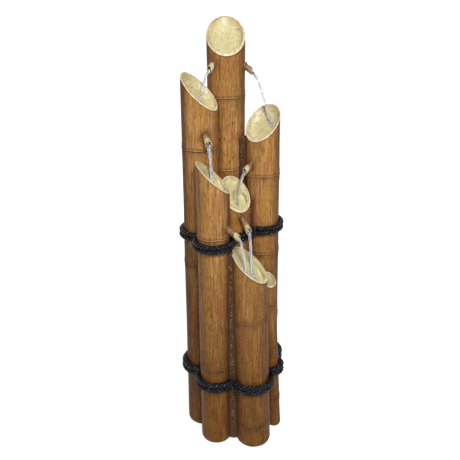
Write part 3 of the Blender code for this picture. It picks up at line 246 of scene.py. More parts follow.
def tint(red, green, blue):
    """A screen colour of 0 to 255 a channel as linear light."""
    linear = []
    for value in (red, green, blue):
        c = value / 255
        linear.append(c / 12.92 if c <= 0.04045 else ((c + 0.055) / 1.055) ** 2.4)
    return (*linear, 1)


class Nodes:
    """Short ways to add nodes to a tree."""

    def __init__(self, tree):
        self.tree = tree

    def feed(self, socket, value):
        """Link an output to a socket, or set it; a colour of three numbers is a screen colour."""
        if isinstance(value, bpy.types.NodeSocket):
            self.tree.links.new(value, socket)
        elif socket.type == "RGBA" and len(value) == 3:
            socket.default_value = tint(*value)
        else:
            socket.default_value = value

    def add(self, kind, feeds=None, **settings):
        node = self.tree.nodes.new(kind)
        for key, value in settings.items():
            setattr(node, key, value)
        for key, value in (feeds or {}).items():
            self.feed(node.inputs[key], value)
        return node

    def math(self, operation, a, b=0):
        return self.add("ShaderNodeMath", {0: a, 1: b}, operation=operation).outputs[0]

    def product(self, a, b):
        return self.math("MULTIPLY", a, b)

    def seen_rays(self):
        """1 for the rays that show a surface, 0 for those that light others."""
        rays = self.add("ShaderNodeLightPath").outputs
        seen = self.math("MAXIMUM", rays["Is Camera Ray"], rays["Is Glossy Ray"])
        return self.math("MAXIMUM", seen, rays["Is Transmission Ray"])


class Surface(Nodes):
    """A material and short ways to make its patterns."""

    def __init__(self, name):
        self.material = bpy.data.materials.new(name)
        self.material.use_nodes = True
        super().__init__(self.material.node_tree)
        self.shader = self.tree.nodes["Principled BSDF"]
        self.place = self.add("ShaderNodeTexCoord").outputs["Object"]

    def set(self, **values):
        for key, value in values.items():
            self.feed(self.shader.inputs[key.replace("_", " ")], value)

    def value(self, attribute):
        return self.add("ShaderNodeAttribute", attribute_name=attribute).outputs["Fac"]

    def stretch(self, vector, scale):
        feeds = {0: vector, 1: scale}
        return self.add("ShaderNodeVectorMath", feeds, operation="MULTIPLY").outputs[0]

    def noise(self, scale, detail=3, roughness=0.5, distortion=0, vector=None):
        feeds = {"Vector": vector or self.place, "Scale": scale, "Detail": detail,
                 "Roughness": roughness, "Distortion": distortion}
        return self.add("ShaderNodeTexNoise", feeds).outputs["Fac"]

    def grain(self, stretch, *numbers):
        """Noise that is drawn out differently along each axis."""
        return self.noise(1, *numbers, vector=self.stretch(self.place, stretch))

    def cells(self, vector, scale, **settings):
        feeds = {"Vector": vector, "Scale": scale}
        return self.add("ShaderNodeTexVoronoi", feeds, **settings).outputs

    def ramp(self, value, *stops):
        node = self.add("ShaderNodeValToRGB", {"Fac": value})
        points = node.color_ramp.elements
        while len(points) < len(stops):
            points.new(0.5)
        for point, (position, shade) in zip(points, stops):
            point.position = position
            point.color = tint(*shade)
        return node.outputs["Color"]

    def step(self, value, low, high, start=0, end=1):
        feeds = {"Value": value, "From Min": low, "From Max": high, "To Min": start, "To Max": end}
        node = self.add("ShaderNodeMapRange", feeds, interpolation_type="SMOOTHSTEP")
        return node.outputs["Result"]

    def mix(self, share, a, b, blend="MIX"):
        node = self.add("ShaderNodeMix", data_type="RGBA", blend_type=blend)
        for index, value in ((0, share), (6, a), (7, b)):
            self.feed(node.inputs[index], value)
        return node.outputs[2]

    def layers(self, shade, *layers):
        """Lay colours over a shade, each where its noise is in its range."""
        for value, low, high, share, over in layers:
            shade = self.mix(self.step(value, low, high, 0, share), shade, over)
        return shade

    def marks(self, shade, blend="MIX", **overs):
        """Lay colours over a shade, each as strong as the number of its name at each point."""
        for attribute, over in overs.items():
            shade = self.mix(self.value(attribute), shade, over, blend)
        return shade

    def bump(self, height, distance, strength=1, under=None):
        feeds = {"Height": height, "Distance": distance, "Strength": strength}
        if under is not None:
            feeds["Normal"] = under
        return self.add("ShaderNodeBump", feeds).outputs["Normal"]


# Materials


def bamboo_material():
    s = Surface("stained_bamboo")
    fibre = s.grain((950, 950, 30), 3, 0.6)
    streak = s.grain((300, 300, 17), 4, 0.6, 0.25)
    broad = s.grain((75, 75, 9), 3, 0.5)
    drift = s.grain((34, 34, 12), 3, 0.5, 0.5)
    mottle = s.grain((190, 190, 80), 4, 0.6, 0.8)
    fleck = s.grain((520, 520, 120), 3, 0.6, 0.4)
    pits = s.cells(s.stretch(s.place, (260, 260, 70)), 1)["Distance"]
    shade = s.ramp(streak, (0.32, (138, 92, 48)), (0.44, (172, 123, 71)),
                   (0.56, (192, 143, 87)), (0.7, (220, 174, 116)))
    # Golden stripes: partly the bamboo's tone, partly a painted highlight
    gold_and_highlight = s.product(s.value("gold_and_highlight"), s.step(broad, 0.38, 0.6, 0.3, 0.9))
    shade = s.mix(s.product(gold_and_highlight, 0.8), shade, (194, 142, 64))
    shade = s.layers(shade, (broad, 0.5, 0.66, 0.4, (184, 130, 56)),
                     (drift, 0.48, 0.66, 0.55, (174, 110, 74)),
                     (drift, 0.46, 0.34, 0.45, (136, 104, 54)),
                     (mottle, 0.52, 0.68, 0.4, (118, 74, 36)),
                     (fleck, 0.56, 0.68, 0.5, (222, 178, 120)),
                     (fleck, 0.43, 0.31, 0.6, (104, 62, 28)),
                     (fibre, 0.46, 0.68, 0.4, (108, 66, 33)))
    pitting = s.product(s.value("pitting"), s.step(pits, 0.3, 0.12, 0, 0.95))
    shade = s.mix(pitting, shade, (70, 38, 15))
    blotch = s.step(mottle, 0.36, 0.62, 0.25, 1)
    shade = s.mix(s.product(s.value("band"), blotch), shade, (104, 68, 52))
    # light is a painted highlight on the node rings' ridges, edge a painted shadow under the
    # bowl's rim, scar the rings' dark lines
    shade = s.marks(shade, light=(206, 166, 124), scar=(56, 33, 22), edge=(84, 60, 28))
    # Painted shade, multiplied in: crevice in the grooves, on the sides and round the spouts'
    # roots; low towards the foot
    shade = s.marks(shade, "MULTIPLY", crevice=(0.26, 0.15, 0.05, 1),
                    low=(0.44, 0.36, 0.22, 1))
    raw = s.mix(s.step(streak, 0.35, 0.65), (170, 138, 92), (206, 178, 130))
    s.set(Base_Color=s.marks(shade, inside=raw), Roughness=s.step(mottle, 0.3, 0.7, 0.46, 0.64),
          Normal=s.bump(fibre, 0.00014, 0.6, s.bump(streak, 0.0004, 0.5)))
    s.set(Coat_Weight=0.02, Coat_Roughness=0.35, Specular_IOR_Level=0.1)
    return s.material


def bowl_material():
    s = Surface("cream_bowl")
    cloud = s.noise(70, 3, 0.5, 0.6)
    streak = s.grain((250, 90, 34), 4, 0.6, 0.5)
    mark = s.grain((420, 420, 120), 3, 0.55, 1.5)
    speck = s.noise(800, 2, 0.6)
    shade = s.ramp(cloud, (0.32, (204, 192, 138)), (0.48, (218, 206, 156)),
                   (0.66, (230, 216, 170)))
    shade = s.layers(shade, (streak, 0.51, 0.68, 0.6, (174, 164, 112)),
                     (streak, 0.45, 0.32, 0.55, (230, 220, 178)),
                     (mark, 0.62, 0.72, 0.55, (140, 122, 74)),
                     (speck, 0.6, 0.74, 0.25, (150, 136, 88)))
    feeds = {"Vector": s.place, "Scale": 55, "Detail": 3}
    bend = s.stretch(s.add("ShaderNodeTexNoise", feeds).outputs["Color"], (3.2, 3.2, 3.2))
    feeds = {0: s.stretch(s.place, (70, 70, 48)), 1: bend}
    bent = s.add("ShaderNodeVectorMath", feeds).outputs[0]
    veins = s.cells(bent, 1, feature="DISTANCE_TO_EDGE")["Distance"]
    broken = s.product(s.step(veins, 0.085, 0.01), s.step(cloud, 0.44, 0.58, 0, 0.75))
    shade = s.mix(broken, shade, (140, 128, 80))
    rim = s.mix(s.step(streak, 0.4, 0.62, 0, 0.75), (238, 222, 188), (200, 168, 116))
    # depth is painted shade on the dish's walls and ledge edges; the dark line at the dish's edge
    # is a painted shadow
    shade = s.marks(shade, hollow=(204, 194, 140), depth=(164, 152, 98), rim=rim,
                    line=(108, 92, 50))
    s.set(Base_Color=shade, Roughness=s.step(cloud, 0.3, 0.7, 0.38, 0.52),
          Normal=s.bump(streak, 0.0005, 0.6, s.bump(speck, 0.0001, 0.5)))
    s.set(Coat_Weight=0.15, Coat_Roughness=0.2)
    return s.material


def stub_material():
    s = Surface("stained_stub")
    fibre = s.grain((900, 900, 260), 4, 0.6)
    cloud = s.noise(210, 3, 0.5)
    bark = s.ramp(cloud, (0.34, (98, 64, 36)), (0.5, (140, 98, 60)), (0.66, (188, 144, 102)))
    bark = s.layers(bark, (fibre, 0.42, 0.68, 0.5, (88, 56, 28)))
    cream = s.mix(s.step(fibre, 0.42, 0.64), (228, 212, 164), (176, 156, 98))
    # root is painted shade where the stub meets the culm, mouth painted shade inside the bore
    shade = s.marks(bark, root=(84, 50, 26), pale=cream, mouth=(112, 104, 62))
    s.set(Base_Color=shade, Roughness=0.5, Normal=s.bump(fibre, 0.0004, 0.8))
    s.set(Coat_Weight=0.1, Coat_Roughness=0.25)
    return s.material


def rope_material():
    s = Surface("black_rope")
    hair = s.noise(1800, 3, 0.6)
    # Painted glints on the strands' crests
    glint_spots = s.noise(420, 3, 0.6)
    crest = s.step(s.value("groove"), 0.4, 0.02)
    painted_glint = s.product(crest, s.step(glint_spots, 0.53, 0.64, 0, 0.9))
    dark = s.mix(painted_glint, s.mix(s.value("yarn"), (2, 2, 2), (10, 10, 12)), (120, 122, 134))
    height = s.math("ADD", s.value("yarn"), s.product(hair, 0.7))
    # groove: painted shade between the strands
    s.set(Base_Color=s.marks(dark, groove=(2, 2, 3)), Roughness=0.48,
          Normal=s.bump(height, 0.0003, 0.7))
    s.set(Specular_IOR_Level=0.14)
    return s.material


def grout_material():
    s = Surface("rough_mortar")
    grain = s.noise(620, 4, 0.7)
    stones = s.cells(s.place, 540)
    base = s.ramp(grain, (0.36, (32, 20, 9)), (0.52, (62, 41, 21)), (0.66, (98, 70, 38)))
    round_bits = s.step(stones["Distance"], 0.46, 0.26)
    pale = s.product(round_bits, s.step(stones["Color"], 0.55, 0.6, 0, 0.95))
    black = s.product(round_bits, s.step(stones["Color"], 0.5, 0.44, 0, 0.9))
    grainy = s.mix(black, s.mix(pale, base, (206, 176, 126)), (26, 15, 7))
    # Painted shade at the bead's edges, brown like the culms' shaded sides
    painted_shade_brown = s.mix(s.step(grain, 0.4, 0.62), (62, 38, 16), (102, 66, 32))
    s.set(Base_Color=s.marks(grainy, side=painted_shade_brown), Roughness=0.85,
          Normal=s.bump(grain, 0.001, 0.8))
    return s.material


def water_material(name, clearness, grain, drawn):
    """Clear, streaky water, its ripples drawn out lengthwise where it falls."""
    s = Surface(name)
    ripple = s.grain((grain, grain, grain * drawn), 3, 0.55, 0.4)
    glint = s.grain((1.5 * grain, 1.5 * grain, 1.5 * grain * drawn), 3, 0.6, 0.5)
    # Glints: the whites are partly foam, partly painted highlight
    body = s.ramp(glint, (0.36, (146, 154, 174)), (0.45, (232, 235, 244)),
                  (0.54, (255, 255, 255)))
    clear = s.step(s.value("lip"), 0, 0.6, clearness, LIP_CLEARNESS)
    # Painted dark reflections just under the lip
    shade = s.product(s.value("lip"), s.step(glint, 0.54, 0.46))
    s.set(Base_Color=s.mix(shade, body, (38, 44, 66)), Roughness=0.08, IOR=1.33,
          Transmission_Weight=clear, Normal=s.bump(ripple, 0.0012, 0.8))
    s.set(Specular_IOR_Level=0.6)
    return s.material


def plain_material(name, shade, roughness, metallic=0, grain=600, transmission=0):
    """A plainer surface for the hidden fittings: slight mottling, scuffs and bump."""
    s = Surface(name)
    mottle = s.noise(90, 3, 0.5)
    fine = s.noise(grain, 3, 0.6)
    dark = tuple(c * 0.72 for c in tint(*shade)[:3]) + (1,)
    s.set(Base_Color=s.mix(s.step(mottle, 0.4, 0.65), shade, dark), Metallic=metallic,
          Roughness=s.step(fine, 0.3, 0.7, roughness - 0.06, roughness + 0.08),
          Transmission_Weight=transmission, Normal=s.bump(fine, 0.00012, 0.6))
    return s.material


# Measures taken from the frame


def points_of(node):
    mesh = frame["nodes"][node].data
    flat = np.empty(len(mesh.vertices) * 3, dtype=np.float32)
    mesh.vertices.foreach_get("co", flat)
    return flat.reshape(-1, 3).astype(float)


def rings_of(node):
    """Level rings of a culm's outer side: height, centre x, centre y, radius."""
    points = points_of(node)
    keys = np.round(points[:, 2] / LEVEL_STEP).astype(int)
    rings = []
    for key in np.unique(keys):
        group = np.unique(np.round(points[keys == key], 5), axis=0)
        low = group.min(0)
        high = group.max(0)
        width = (high - low)[:2]
        if len(group) >= RING_POINTS and abs(width[0] - width[1]) <= OUT_OF_ROUND:
            x, y, _ = (low + high) / 2
            rings.append((key * LEVEL_STEP, x, y, width.mean() / 2))
    widest = max(ring[3] for ring in rings)
    return [ring for ring in rings if ring[3] > 0.9 * widest]


def mouth_plane(name):
    """Slopes and height of the plane through the upper edge of a culm's bowl."""
    bowl = points_of(name + "_bowl")
    rim_middle = (bowl.min(0) + bowl.max(0)) / 2
    offset = bowl[:, :2] - rim_middle[:2]
    reach = np.hypot(offset[:, 0], offset[:, 1])
    edge = bowl[reach > reach.max() - EDGE_SLACK]
    top = []
    for p in edge:
        near = edge[np.hypot(*(edge[:, :2] - p[:2]).T) < EDGE_NEAR]
        if p[2] >= near[:, 2].max() - 1e-5:
            top.append(p)
    top = np.array(top)
    system = np.column_stack([top[:, 0], top[:, 1], np.ones(len(top))])
    return np.linalg.lstsq(system, top[:, 2], rcond=None)[0]


def measure_culm(name):
    """Axis, radii, node rings, slanting cut and bowl of one culm."""
    lengths = [node for node in frame["nodes"] if node.startswith(name + "_culm")]
    rings = np.array(sorted(ring for node in lengths for ring in rings_of(node)))
    heights, radii = rings[:, 0], rings[:, 3]
    lean, x = np.polyfit(heights, rings[:, 1], 1)
    y = float(np.median(rings[:, 2]))
    plain = rings[(radii < np.median(radii) + PLAIN_SLACK) & (heights > PLAIN_START)]
    for _ in range(3):
        slope, foot = np.polyfit(plain[:, 0], plain[:, 3], 1)
        plain = rings[abs(radii - (foot + slope * heights)) < FIT_SLACK]
    nodes = [h for h, _, _, r in rings if r > foot + slope * h + NODE_SWELLING]
    gx, gy, flat = mouth_plane(name)
    mouth = (gx * x + gy * y + flat) / (1 - gx * lean)
    culm = SimpleNamespace(name=name, x=float(x), y=y, lean=float(lean), foot=float(foot),
                           taper=float(slope), mouth=float(mouth), gx=float(gx), gy=float(gy),
                           top=float(foot + slope * mouth), **(CULM_LOOK | CULM_LOOKS[name]))
    culm.nodes = [h + nudge for h, nudge in zip(nodes, culm.nudges or (0,) * len(nodes))]
    culm.middle = axis_at(culm, culm.mouth)
    culm.plug = culm.top - culm.wall - BOWL_PLAY
    culm.dish = culm.plug - RIM_INSET
    culm.depth = BOWL_DEPTH_SHARE * culm.plug
    return culm


def axis_at(culm, z):
    return Vector((culm.x + culm.lean * z, culm.y, z))


def radius_at(culm, z):
    return culm.foot + culm.taper * z


def cut_height(culm, x, y, drop=0):
    """Height of the culm's slanting cut above a point of the plan."""
    return culm.mouth - drop + culm.gx * (x - culm.middle.x) + culm.gy * (y - culm.middle.y)


def measure_spout(name):
    """Tip, root and unit direction of flow of one spout."""
    points = points_of(name + "_spout")
    spout = SimpleNamespace(name=name, **(SPOUT_LOOK | SPOUT_LOOKS[name]))
    spout.owner = CULMS[spout.owner]
    spout.catcher = CULMS[spout.catcher]
    middle = Vector(points.mean(0))
    axis = axis_at(spout.owner, middle.z)
    out = Vector((middle.x - axis.x, middle.y - axis.y, 0)).normalized()
    along = points @ np.array(out)
    spout.tip = Vector(points[along > along.max() - TIP_SLACK].mean(0))
    away = np.linalg.norm(points - np.array(spout.tip), axis=1)
    spout.root = Vector(points[away > away.max() - ROOT_SLACK].mean(0))
    spout.way = (spout.tip - spout.root).normalized()
    return spout


CULMS = {name: measure_culm(name) for name in CULM_LOOKS}
SPOUTS = [measure_spout(name) for name in SPOUT_LOOKS]
TALL = CULMS["tall"]


# Building meshes


def clamp(value, low=0, high=1):
    return min(max(value, low), high)


def smooth(low, high, value):
    t = clamp((value - low) / (high - low))
    return t * t * (3 - 2 * t)


def bell(value, width):
    return math.exp(-(value / width) ** 2)


def bells(value, shapes):
    return sum(height * bell(value - place, width) for height, place, width in shapes)


def wave(x, y, z=0):
    return noise.noise(Vector((x, y, z)))


def circle(count):
    """Cosine and sine of even steps round a circle."""
    return [(math.cos(2 * math.pi * j / count), math.sin(2 * math.pi * j / count))
            for j in range(count)]


def grid_faces(rows, columns, wrap=True):
    faces = []
    for i in range(rows - 1):
        for j in range(columns if wrap else columns - 1):
            k = (j + 1) % columns
            faces.append((i * columns + j, i * columns + k, (i + 1) * columns + k,
                          (i + 1) * columns + j))
    return faces


def closed_faces(rows, columns):
    """Faces of a stack of rings with its first and last ring capped."""
    faces = grid_faces(rows, columns)
    faces.append(tuple(reversed(range(columns))))
    faces.append(tuple(range((rows - 1) * columns, rows * columns)))
    return faces


def placed(name, data):
    """A new object in the scene."""
    ob = bpy.data.objects.new(name, data)
    bpy.context.scene.collection.objects.link(ob)
    return ob


def mesh_of(name, points, faces):
    mesh = bpy.data.meshes.new(name)
    mesh.from_pydata(points, [], faces)
    return mesh


def carved(mesh, tools):
    """The mesh with closed tool shapes, given as points and faces, cut out of it."""
    piece = placed("carved", mesh)
    for points, faces in tools:
        tool = placed("tool", mesh_of("tool", points, faces))
        cut = piece.modifiers.new("Cut", "BOOLEAN")
        cut.object = tool
        cut.solver = "EXACT"
        bpy.context.view_layer.update()
        seen = piece.evaluated_get(bpy.context.evaluated_depsgraph_get())
        mesh = bpy.data.meshes.new_from_object(seen)
        piece.modifiers.clear()
        piece.data = mesh
        bpy.data.objects.remove(tool)
    bpy.data.objects.remove(piece)
    return mesh


def note(values, **numbers):
    """Add the numbers of one more point to the lists of its piece."""
    for key, number in numbers.items():
        values[key].append(number)


def finish_mesh(mesh, values, material, sharp=None):
    """Give a mesh its numbers per point, its material and smooth shading."""
    for key, numbers in values.items():
        if key in mesh.attributes:
            mesh.attributes.remove(mesh.attributes[key])
        attribute = mesh.attributes.new(key, "FLOAT", "POINT")
        attribute.data.foreach_set("value", [float(n) for n in numbers])
    mesh.materials.clear()
    mesh.materials.append(material)
    mesh.shade_smooth()
    if sharp:
        mesh.set_sharp_from_angle(angle=math.radians(sharp))


def add_piece(name, points, faces, material, values=None, body=ROOT, tools=(), numbers=None):
    """A smooth mesh piece in world places, with named numbers per point for its material."""
    mesh = mesh_of(name, points, faces)
    if tools:
        mesh = carved(mesh, tools)
    if numbers:
        values = defaultdict(list)
        for v in mesh.vertices:
            note(values, **numbers(v.co))
    finish_mesh(mesh, values or {}, material, 40 if tools else None)
    ob = placed(name, mesh)
    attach(ob, body)
    return ob


def thicken(ob, thickness, offset):
    thick = ob.modifiers.new("Thickness", "SOLIDIFY")
    thick.thickness = thickness
    thick.offset = offset


def basis(way):
    """Two directions square to a way, and the way itself."""
    z = way.normalized()
    up = BACK if abs(z.dot(UP)) > 0.99 else UP
    y = (up - z * up.dot(z)).normalized()
    return y.cross(z), y, z


def turned(start, way, profile, sides=48):
    """Points and faces of a round shape from its profile of radius and place along its axis."""
    x, y, z = basis(way)
    points = []
    for r, at in profile:
        points += [start + z * at + x * (r * c) + y * (r * s) for c, s in circle(sides)]
    return points, closed_faces(len(profile), sides)


def rod(start, end, radius, sides=32):
    """A round bar from one point to another, for cutting a hole."""
    x, y, _ = basis(end - start)
    points = []
    for p in (start, end):
        points += [p + x * (radius * c) + y * (radius * s) for c, s in circle(sides)]
    return points, closed_faces(2, sides)


def brick(low, high):
    (x0, y0, z0), (x1, y1, z1) = low, high
    corners = ((x0, y0), (x1, y0), (x1, y1), (x0, y1))
    return [(x, y, z) for z in (z0, z1) for x, y in corners], closed_faces(2, 4)


# Culms


def ring_wander(culm, node, ca, sa):
    """How far a node ring strays from level on one side of the culm."""
    return culm.tilt * ca + RING_WAVE * wave(1.3 * ca + 40 * culm.x, 1.3 * sa, node * 50)


def culm_rows(culm):
    """Heights of the mesh rows below the cut: close together round the node rings."""
    top = culm.mouth - math.hypot(culm.gx, culm.gy) * culm.top - CUT_BLEND
    rows = []
    z = FOOT_HEIGHT
    while z < top:
        rows.append(z)
        near = min(abs(z - node - 0.002) for node in culm.nodes)
        z += RING_ROW_HEIGHT if near < RING_REACH else min(ROW_HEIGHT, near - 0.9 * RING_REACH)
    return rows + [top]


def crevice_at(culm, p):
    """How deep a point of the skin lies in the groove beside a neighbouring culm."""
    deepest = 0
    for other in CULMS.values():
        if other is culm or cut_height(other, p.x, p.y) < p.z - 0.02:
            continue
        middle = axis_at(other, p.z)
        gap = math.hypot(p.x - middle.x, p.y - middle.y) - radius_at(other, p.z)
        above = smooth(-0.004, 0.012, cut_height(other, p.x, p.y) - p.z)
        deepest = max(deepest, above * (1 - smooth(*CREVICE_GAPS, gap)))
    return deepest


def ring_marks(culm, z, ca, sa):
    """Dark scars, reddish bands and painted highlight lines of the node rings at a point of the
    skin.
    """
    scar = band = light = 0
    for node in culm.nodes:
        dz = z - node - ring_wander(culm, node, ca, sa)
        broken = 0.62 + 0.9 * wave(6 * ca, 6 * sa, node * 90)
        scar = max(scar, bells(dz, SCAR_LINES) * clamp(broken, 0.62))
        # Painted highlight along the ridge just above the scar
        light = max(light, 0.55 * bell(dz - 0.0009, 0.0007) * clamp(broken, 0.2))
        spread = 0.0085 + 0.005 * wave(3 * ca, 3 * sa, 9 + node)
        band = max(band, 0.55 * bell(dz + 0.003, max(spread, 0.003)))
    return scar, band, light


def painted_shade_at(culm, p, across):
    """Painted shade in the grooves between culms, on the culm's sides and round spout roots."""
    # Painted shade on the culm's two sides, where the light falls off
    side = culm.sides[across > 0] * smooth(SIDE_START, SIDE_END, abs(across))
    stain = max(CREVICE_SHADE * crevice_at(culm, p), side)
    uneven = 0.75 + 0.9 * wave(p.x * 160, p.y * 160, p.z * 160)
    for spout in SPOUTS:
        if spout.owner is culm:
            root = spout.root + spout.way * ROOT_DEPTH
            near = ROOT_SHADE * uneven * bell((p - root).length, ROOT_SHADE_REACH)
            stain = max(stain, min(near, 1))
    return stain


def height_darkening(culm, z):
    """Painted shade towards the culm's foot, and darkening of the tall one towards its top."""
    low = culm.stain * (1 - smooth(SHADE_BOTTOM, SHADE_TOP, z))
    if culm.top_stain:
        start, strength = culm.top_stain
        low = max(low, strength * smooth(start, start + 0.03, z))
    return low


def gold_and_highlight_at(culm, z, ca, sa):
    """Golden stripes along the culm, which come and go; the front one is also a painted highlight.
    """
    turn = math.atan2(sa, ca) + math.pi / 2 + culm.gold_turn
    gold_and_highlight = (0.5 + 0.5 * math.cos(GOLD_HIGHLIGHT_STRIPES * turn)) ** 2
    return gold_and_highlight * clamp(0.75 + 0.9 * wave(ca + 30 * culm.x, sa, 7 * z))


def skin_numbers(culm):
    """A function that gives the stains and scars at a point of the culm's skin."""
    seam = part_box("tall_culm")[0].z if culm is TALL else None
    pitted = TALL_PITS if culm is TALL else 0

    def numbers(p):
        middle = axis_at(culm, p.z)
        away = Vector((p.x - middle.x, p.y - middle.y))
        reach = away.length
        ca, sa = away / max(reach, 1e-6)
        scar, band, light = ring_marks(culm, p.z, ca, sa)
        if seam:
            scar = max(scar, 0.7 * bell(p.z - seam, 0.0005))
        gap = cut_height(culm, p.x, p.y, RIM_DROP) - p.z
        inside = 1 if reach < radius_at(culm, p.z) - 0.5 * culm.wall else 0
        pitting = PITS + pitted * bell(p.z - TALL_PITS_HEIGHT, TALL_PITS_REACH)
        return dict(scar=scar, band=band, light=light, gold_and_highlight=gold_and_highlight_at(culm, p.z, ca, sa),
                    # crevice: painted shade in the grooves, on the sides and round the spouts'
                    # roots
                    crevice=painted_shade_at(culm, p, ca),
                    # edge: painted shadow just under the bowl's rim
                    edge=0.65 * (1 - smooth(0.0006, 0.0026, gap)), inside=inside,
                    # low: painted shade towards the foot, and the tall culm's darkening towards
                    # its top
                    low=height_darkening(culm, p.z), pitting=min(1, pitting))

    return numbers


def level_height(culm, kind, t, top, ca, sa):
    """Height of a mesh row on one side of the culm."""
    if kind == "row":
        return t
    if kind == "foot":
        return FOOT_HEIGHT * (1 - math.cos(t))
    if kind == "in":
        return top * (1 - t) + FLOOR_THICKNESS * t
    x, y, _ = culm.middle
    rim = cut_height(culm, x + culm.top * ca, y + culm.top * sa, RIM_DROP)
    return top + (rim - top) * t


def skin_radius(culm, z, ca, sa):
    """Radius of the skin: tapered, waisted between the nodes, swollen at them, uneven."""
    ends = [0] + sorted(culm.nodes) + [culm.mouth]
    lower = max(e for e in ends[:-1] if e <= z or e == 0)
    upper = min((e for e in ends if e > z), default=ends[-1])
    between = clamp((z - lower) / max(upper - lower, 1e-6))
    turn = 100 * culm.x + 70 * culm.y
    r = radius_at(culm, z) - WAIST * math.sin(math.pi * between)
    r += CULM_WOBBLE * wave(2 * ca + turn, 2 * sa, 11 * z)
    wander = [z - node - ring_wander(culm, node, ca, sa) for node in culm.nodes]
    return r + sum(bells(dz, NODE_SHAPE) for dz in wander)


def culm_piece(culm, material, tools=()):
    """One culm's skin and inside: round rows, node rings, rounded foot, slanting cut."""
    rows = culm_rows(culm)
    inner = culm.top - culm.wall
    levels = [("foot", math.radians(a)) for a in FOOT_ANGLES]
    levels += [("row", z) for z in rows]
    levels += [("cut", (i + 1) / CUT_ROWS) for i in range(CUT_ROWS)]
    levels += [("lip", 1), ("in", 0), ("in", 0.5), ("in", 1)]
    points = []
    for kind, t in levels:
        for ca, sa in circle(AROUND):
            z = level_height(culm, kind, t, rows[-1], ca, sa)
            if kind in ("lip", "in"):
                r = inner + (0.0002 if kind == "lip" else 0)
            else:
                r = skin_radius(culm, z, ca, sa)
            if kind == "foot":
                r -= FOOT_INSET * (1 - math.sin(t))
            middle = axis_at(culm, z)
            points.append((middle.x + r * ca, middle.y + r * sa, z))
    return add_piece(culm.name + "_culm_skin", points, closed_faces(len(levels), AROUND),
                     material, tools=tools, numbers=skin_numbers(culm))


# Bowls


def dish_drop(culm, share):
    """How far below the rim plane a dish ring lies: a hollow, with a ledge where there is one."""
    ledge = culm.ledge
    if ledge is None:
        return culm.depth * (1 - share ** BOWL_ROUNDNESS)
    if share > ledge:
        return LEDGE_DEPTH * (1 - ((share - ledge) / (1 - ledge)) ** 3)
    return LEDGE_DEPTH + (culm.depth - LEDGE_DEPTH) * (1 - (share / ledge) ** BOWL_ROUNDNESS)


def dish_shares(culm):
    """Shares of the dish's mesh rings, with some close together at the edge of a ledge."""
    ledge = culm.ledge
    if ledge is None:
        return DISH_SHARES
    near = (ledge - 0.06, ledge - 0.03, ledge, ledge + 0.03)
    return sorted([s for s in DISH_SHARES if abs(s - ledge + 0.015) > 0.055] + list(near))


def dish_centre(culm, share):
    """Offset of a dish ring from the culm's middle: the deepest part lies to one side."""
    slack = 1 - share * share
    return [rim * share ** 3 + shift * slack
            for rim, shift in zip(culm.rim_shift, culm.dish_shift)]


def dish_share(culm, x, y):
    """Which dish ring, from 0 in the deepest part to 1 at the rim, is over a point of the plan."""
    share = 0.5
    for _ in range(24):
        cx, cy = dish_centre(culm, share)
        reach = math.hypot(x - culm.middle.x - cx, y - culm.middle.y - cy)
        share = min(reach / culm.dish, 1)
    return share


def bowl_surface(culm, x, y):
    """Height of the bowl's inner surface above a point of the plan."""
    return cut_height(culm, x, y) - dish_drop(culm, dish_share(culm, x, y))


def drain(culm):
    """A rod for the drain hole, where the slanting dish is lowest."""
    slope = math.hypot(culm.gx, culm.gy)
    steepness = slope * culm.dish / (BOWL_ROUNDNESS * culm.depth)
    out = culm.dish * steepness ** (1 / (BOWL_ROUNDNESS - 1)) * culm.drain_pull
    x = culm.middle.x - culm.gx / slope * out
    y = culm.middle.y - culm.gy / slope * out
    ends = [Vector((x, y, culm.mouth + rise)) for rise in (-0.09, 0.06)]
    return rod(*ends, DRAIN_RADIUS)


def bowl_rings(culm):
    """Rings of dish, rim and underside: share, radius, height, and numbers for rim and the painted
    shadow line.
    """
    dish, top = culm.dish, culm.top
    width = top - dish
    inner = [(s, dish * s, -dish_drop(culm, s), 0, 0) for s in dish_shares(culm)]
    rim = [(1, dish, -0.0006, 0.25, 0.8), (0.9, dish + 0.1 * width, 0, 0.8, 0.4),
           (0.75, dish + 0.25 * width, 0.00015, 1, 0),
           (0.4, dish + 0.6 * width, 0.00015, 1, 0),
           (0.1, top - 0.0009, 0, 1, 0), (0, top - 0.0002, -0.0005, 1, 0),
           (0, top, -0.0012, 0.9, 0), (0, top - 0.0002, -RIM_HEIGHT, 0.6, 0.5),
           (0, culm.plug, -RIM_HEIGHT, 0, 0.6)]
    under = [(s, dish * s, -dish_drop(culm, s) - BOWL_SHELL, 0, 0) for s in UNDER_SHARES]
    return inner, rim, under


def wall_shade(culm, share):
    """How much painted shade a dish ring gets: on its wall, at a ledge's edge, or over the whole
    of it.
    """
    wall = 0.45 * smooth(0.8, 0.97, share)
    if culm.ledge:
        wall = 0.8 * bell(share - culm.ledge + 0.05, 0.07) + 0.5 * bell(share - 0.98, 0.05)
    return max(wall, culm.shade)


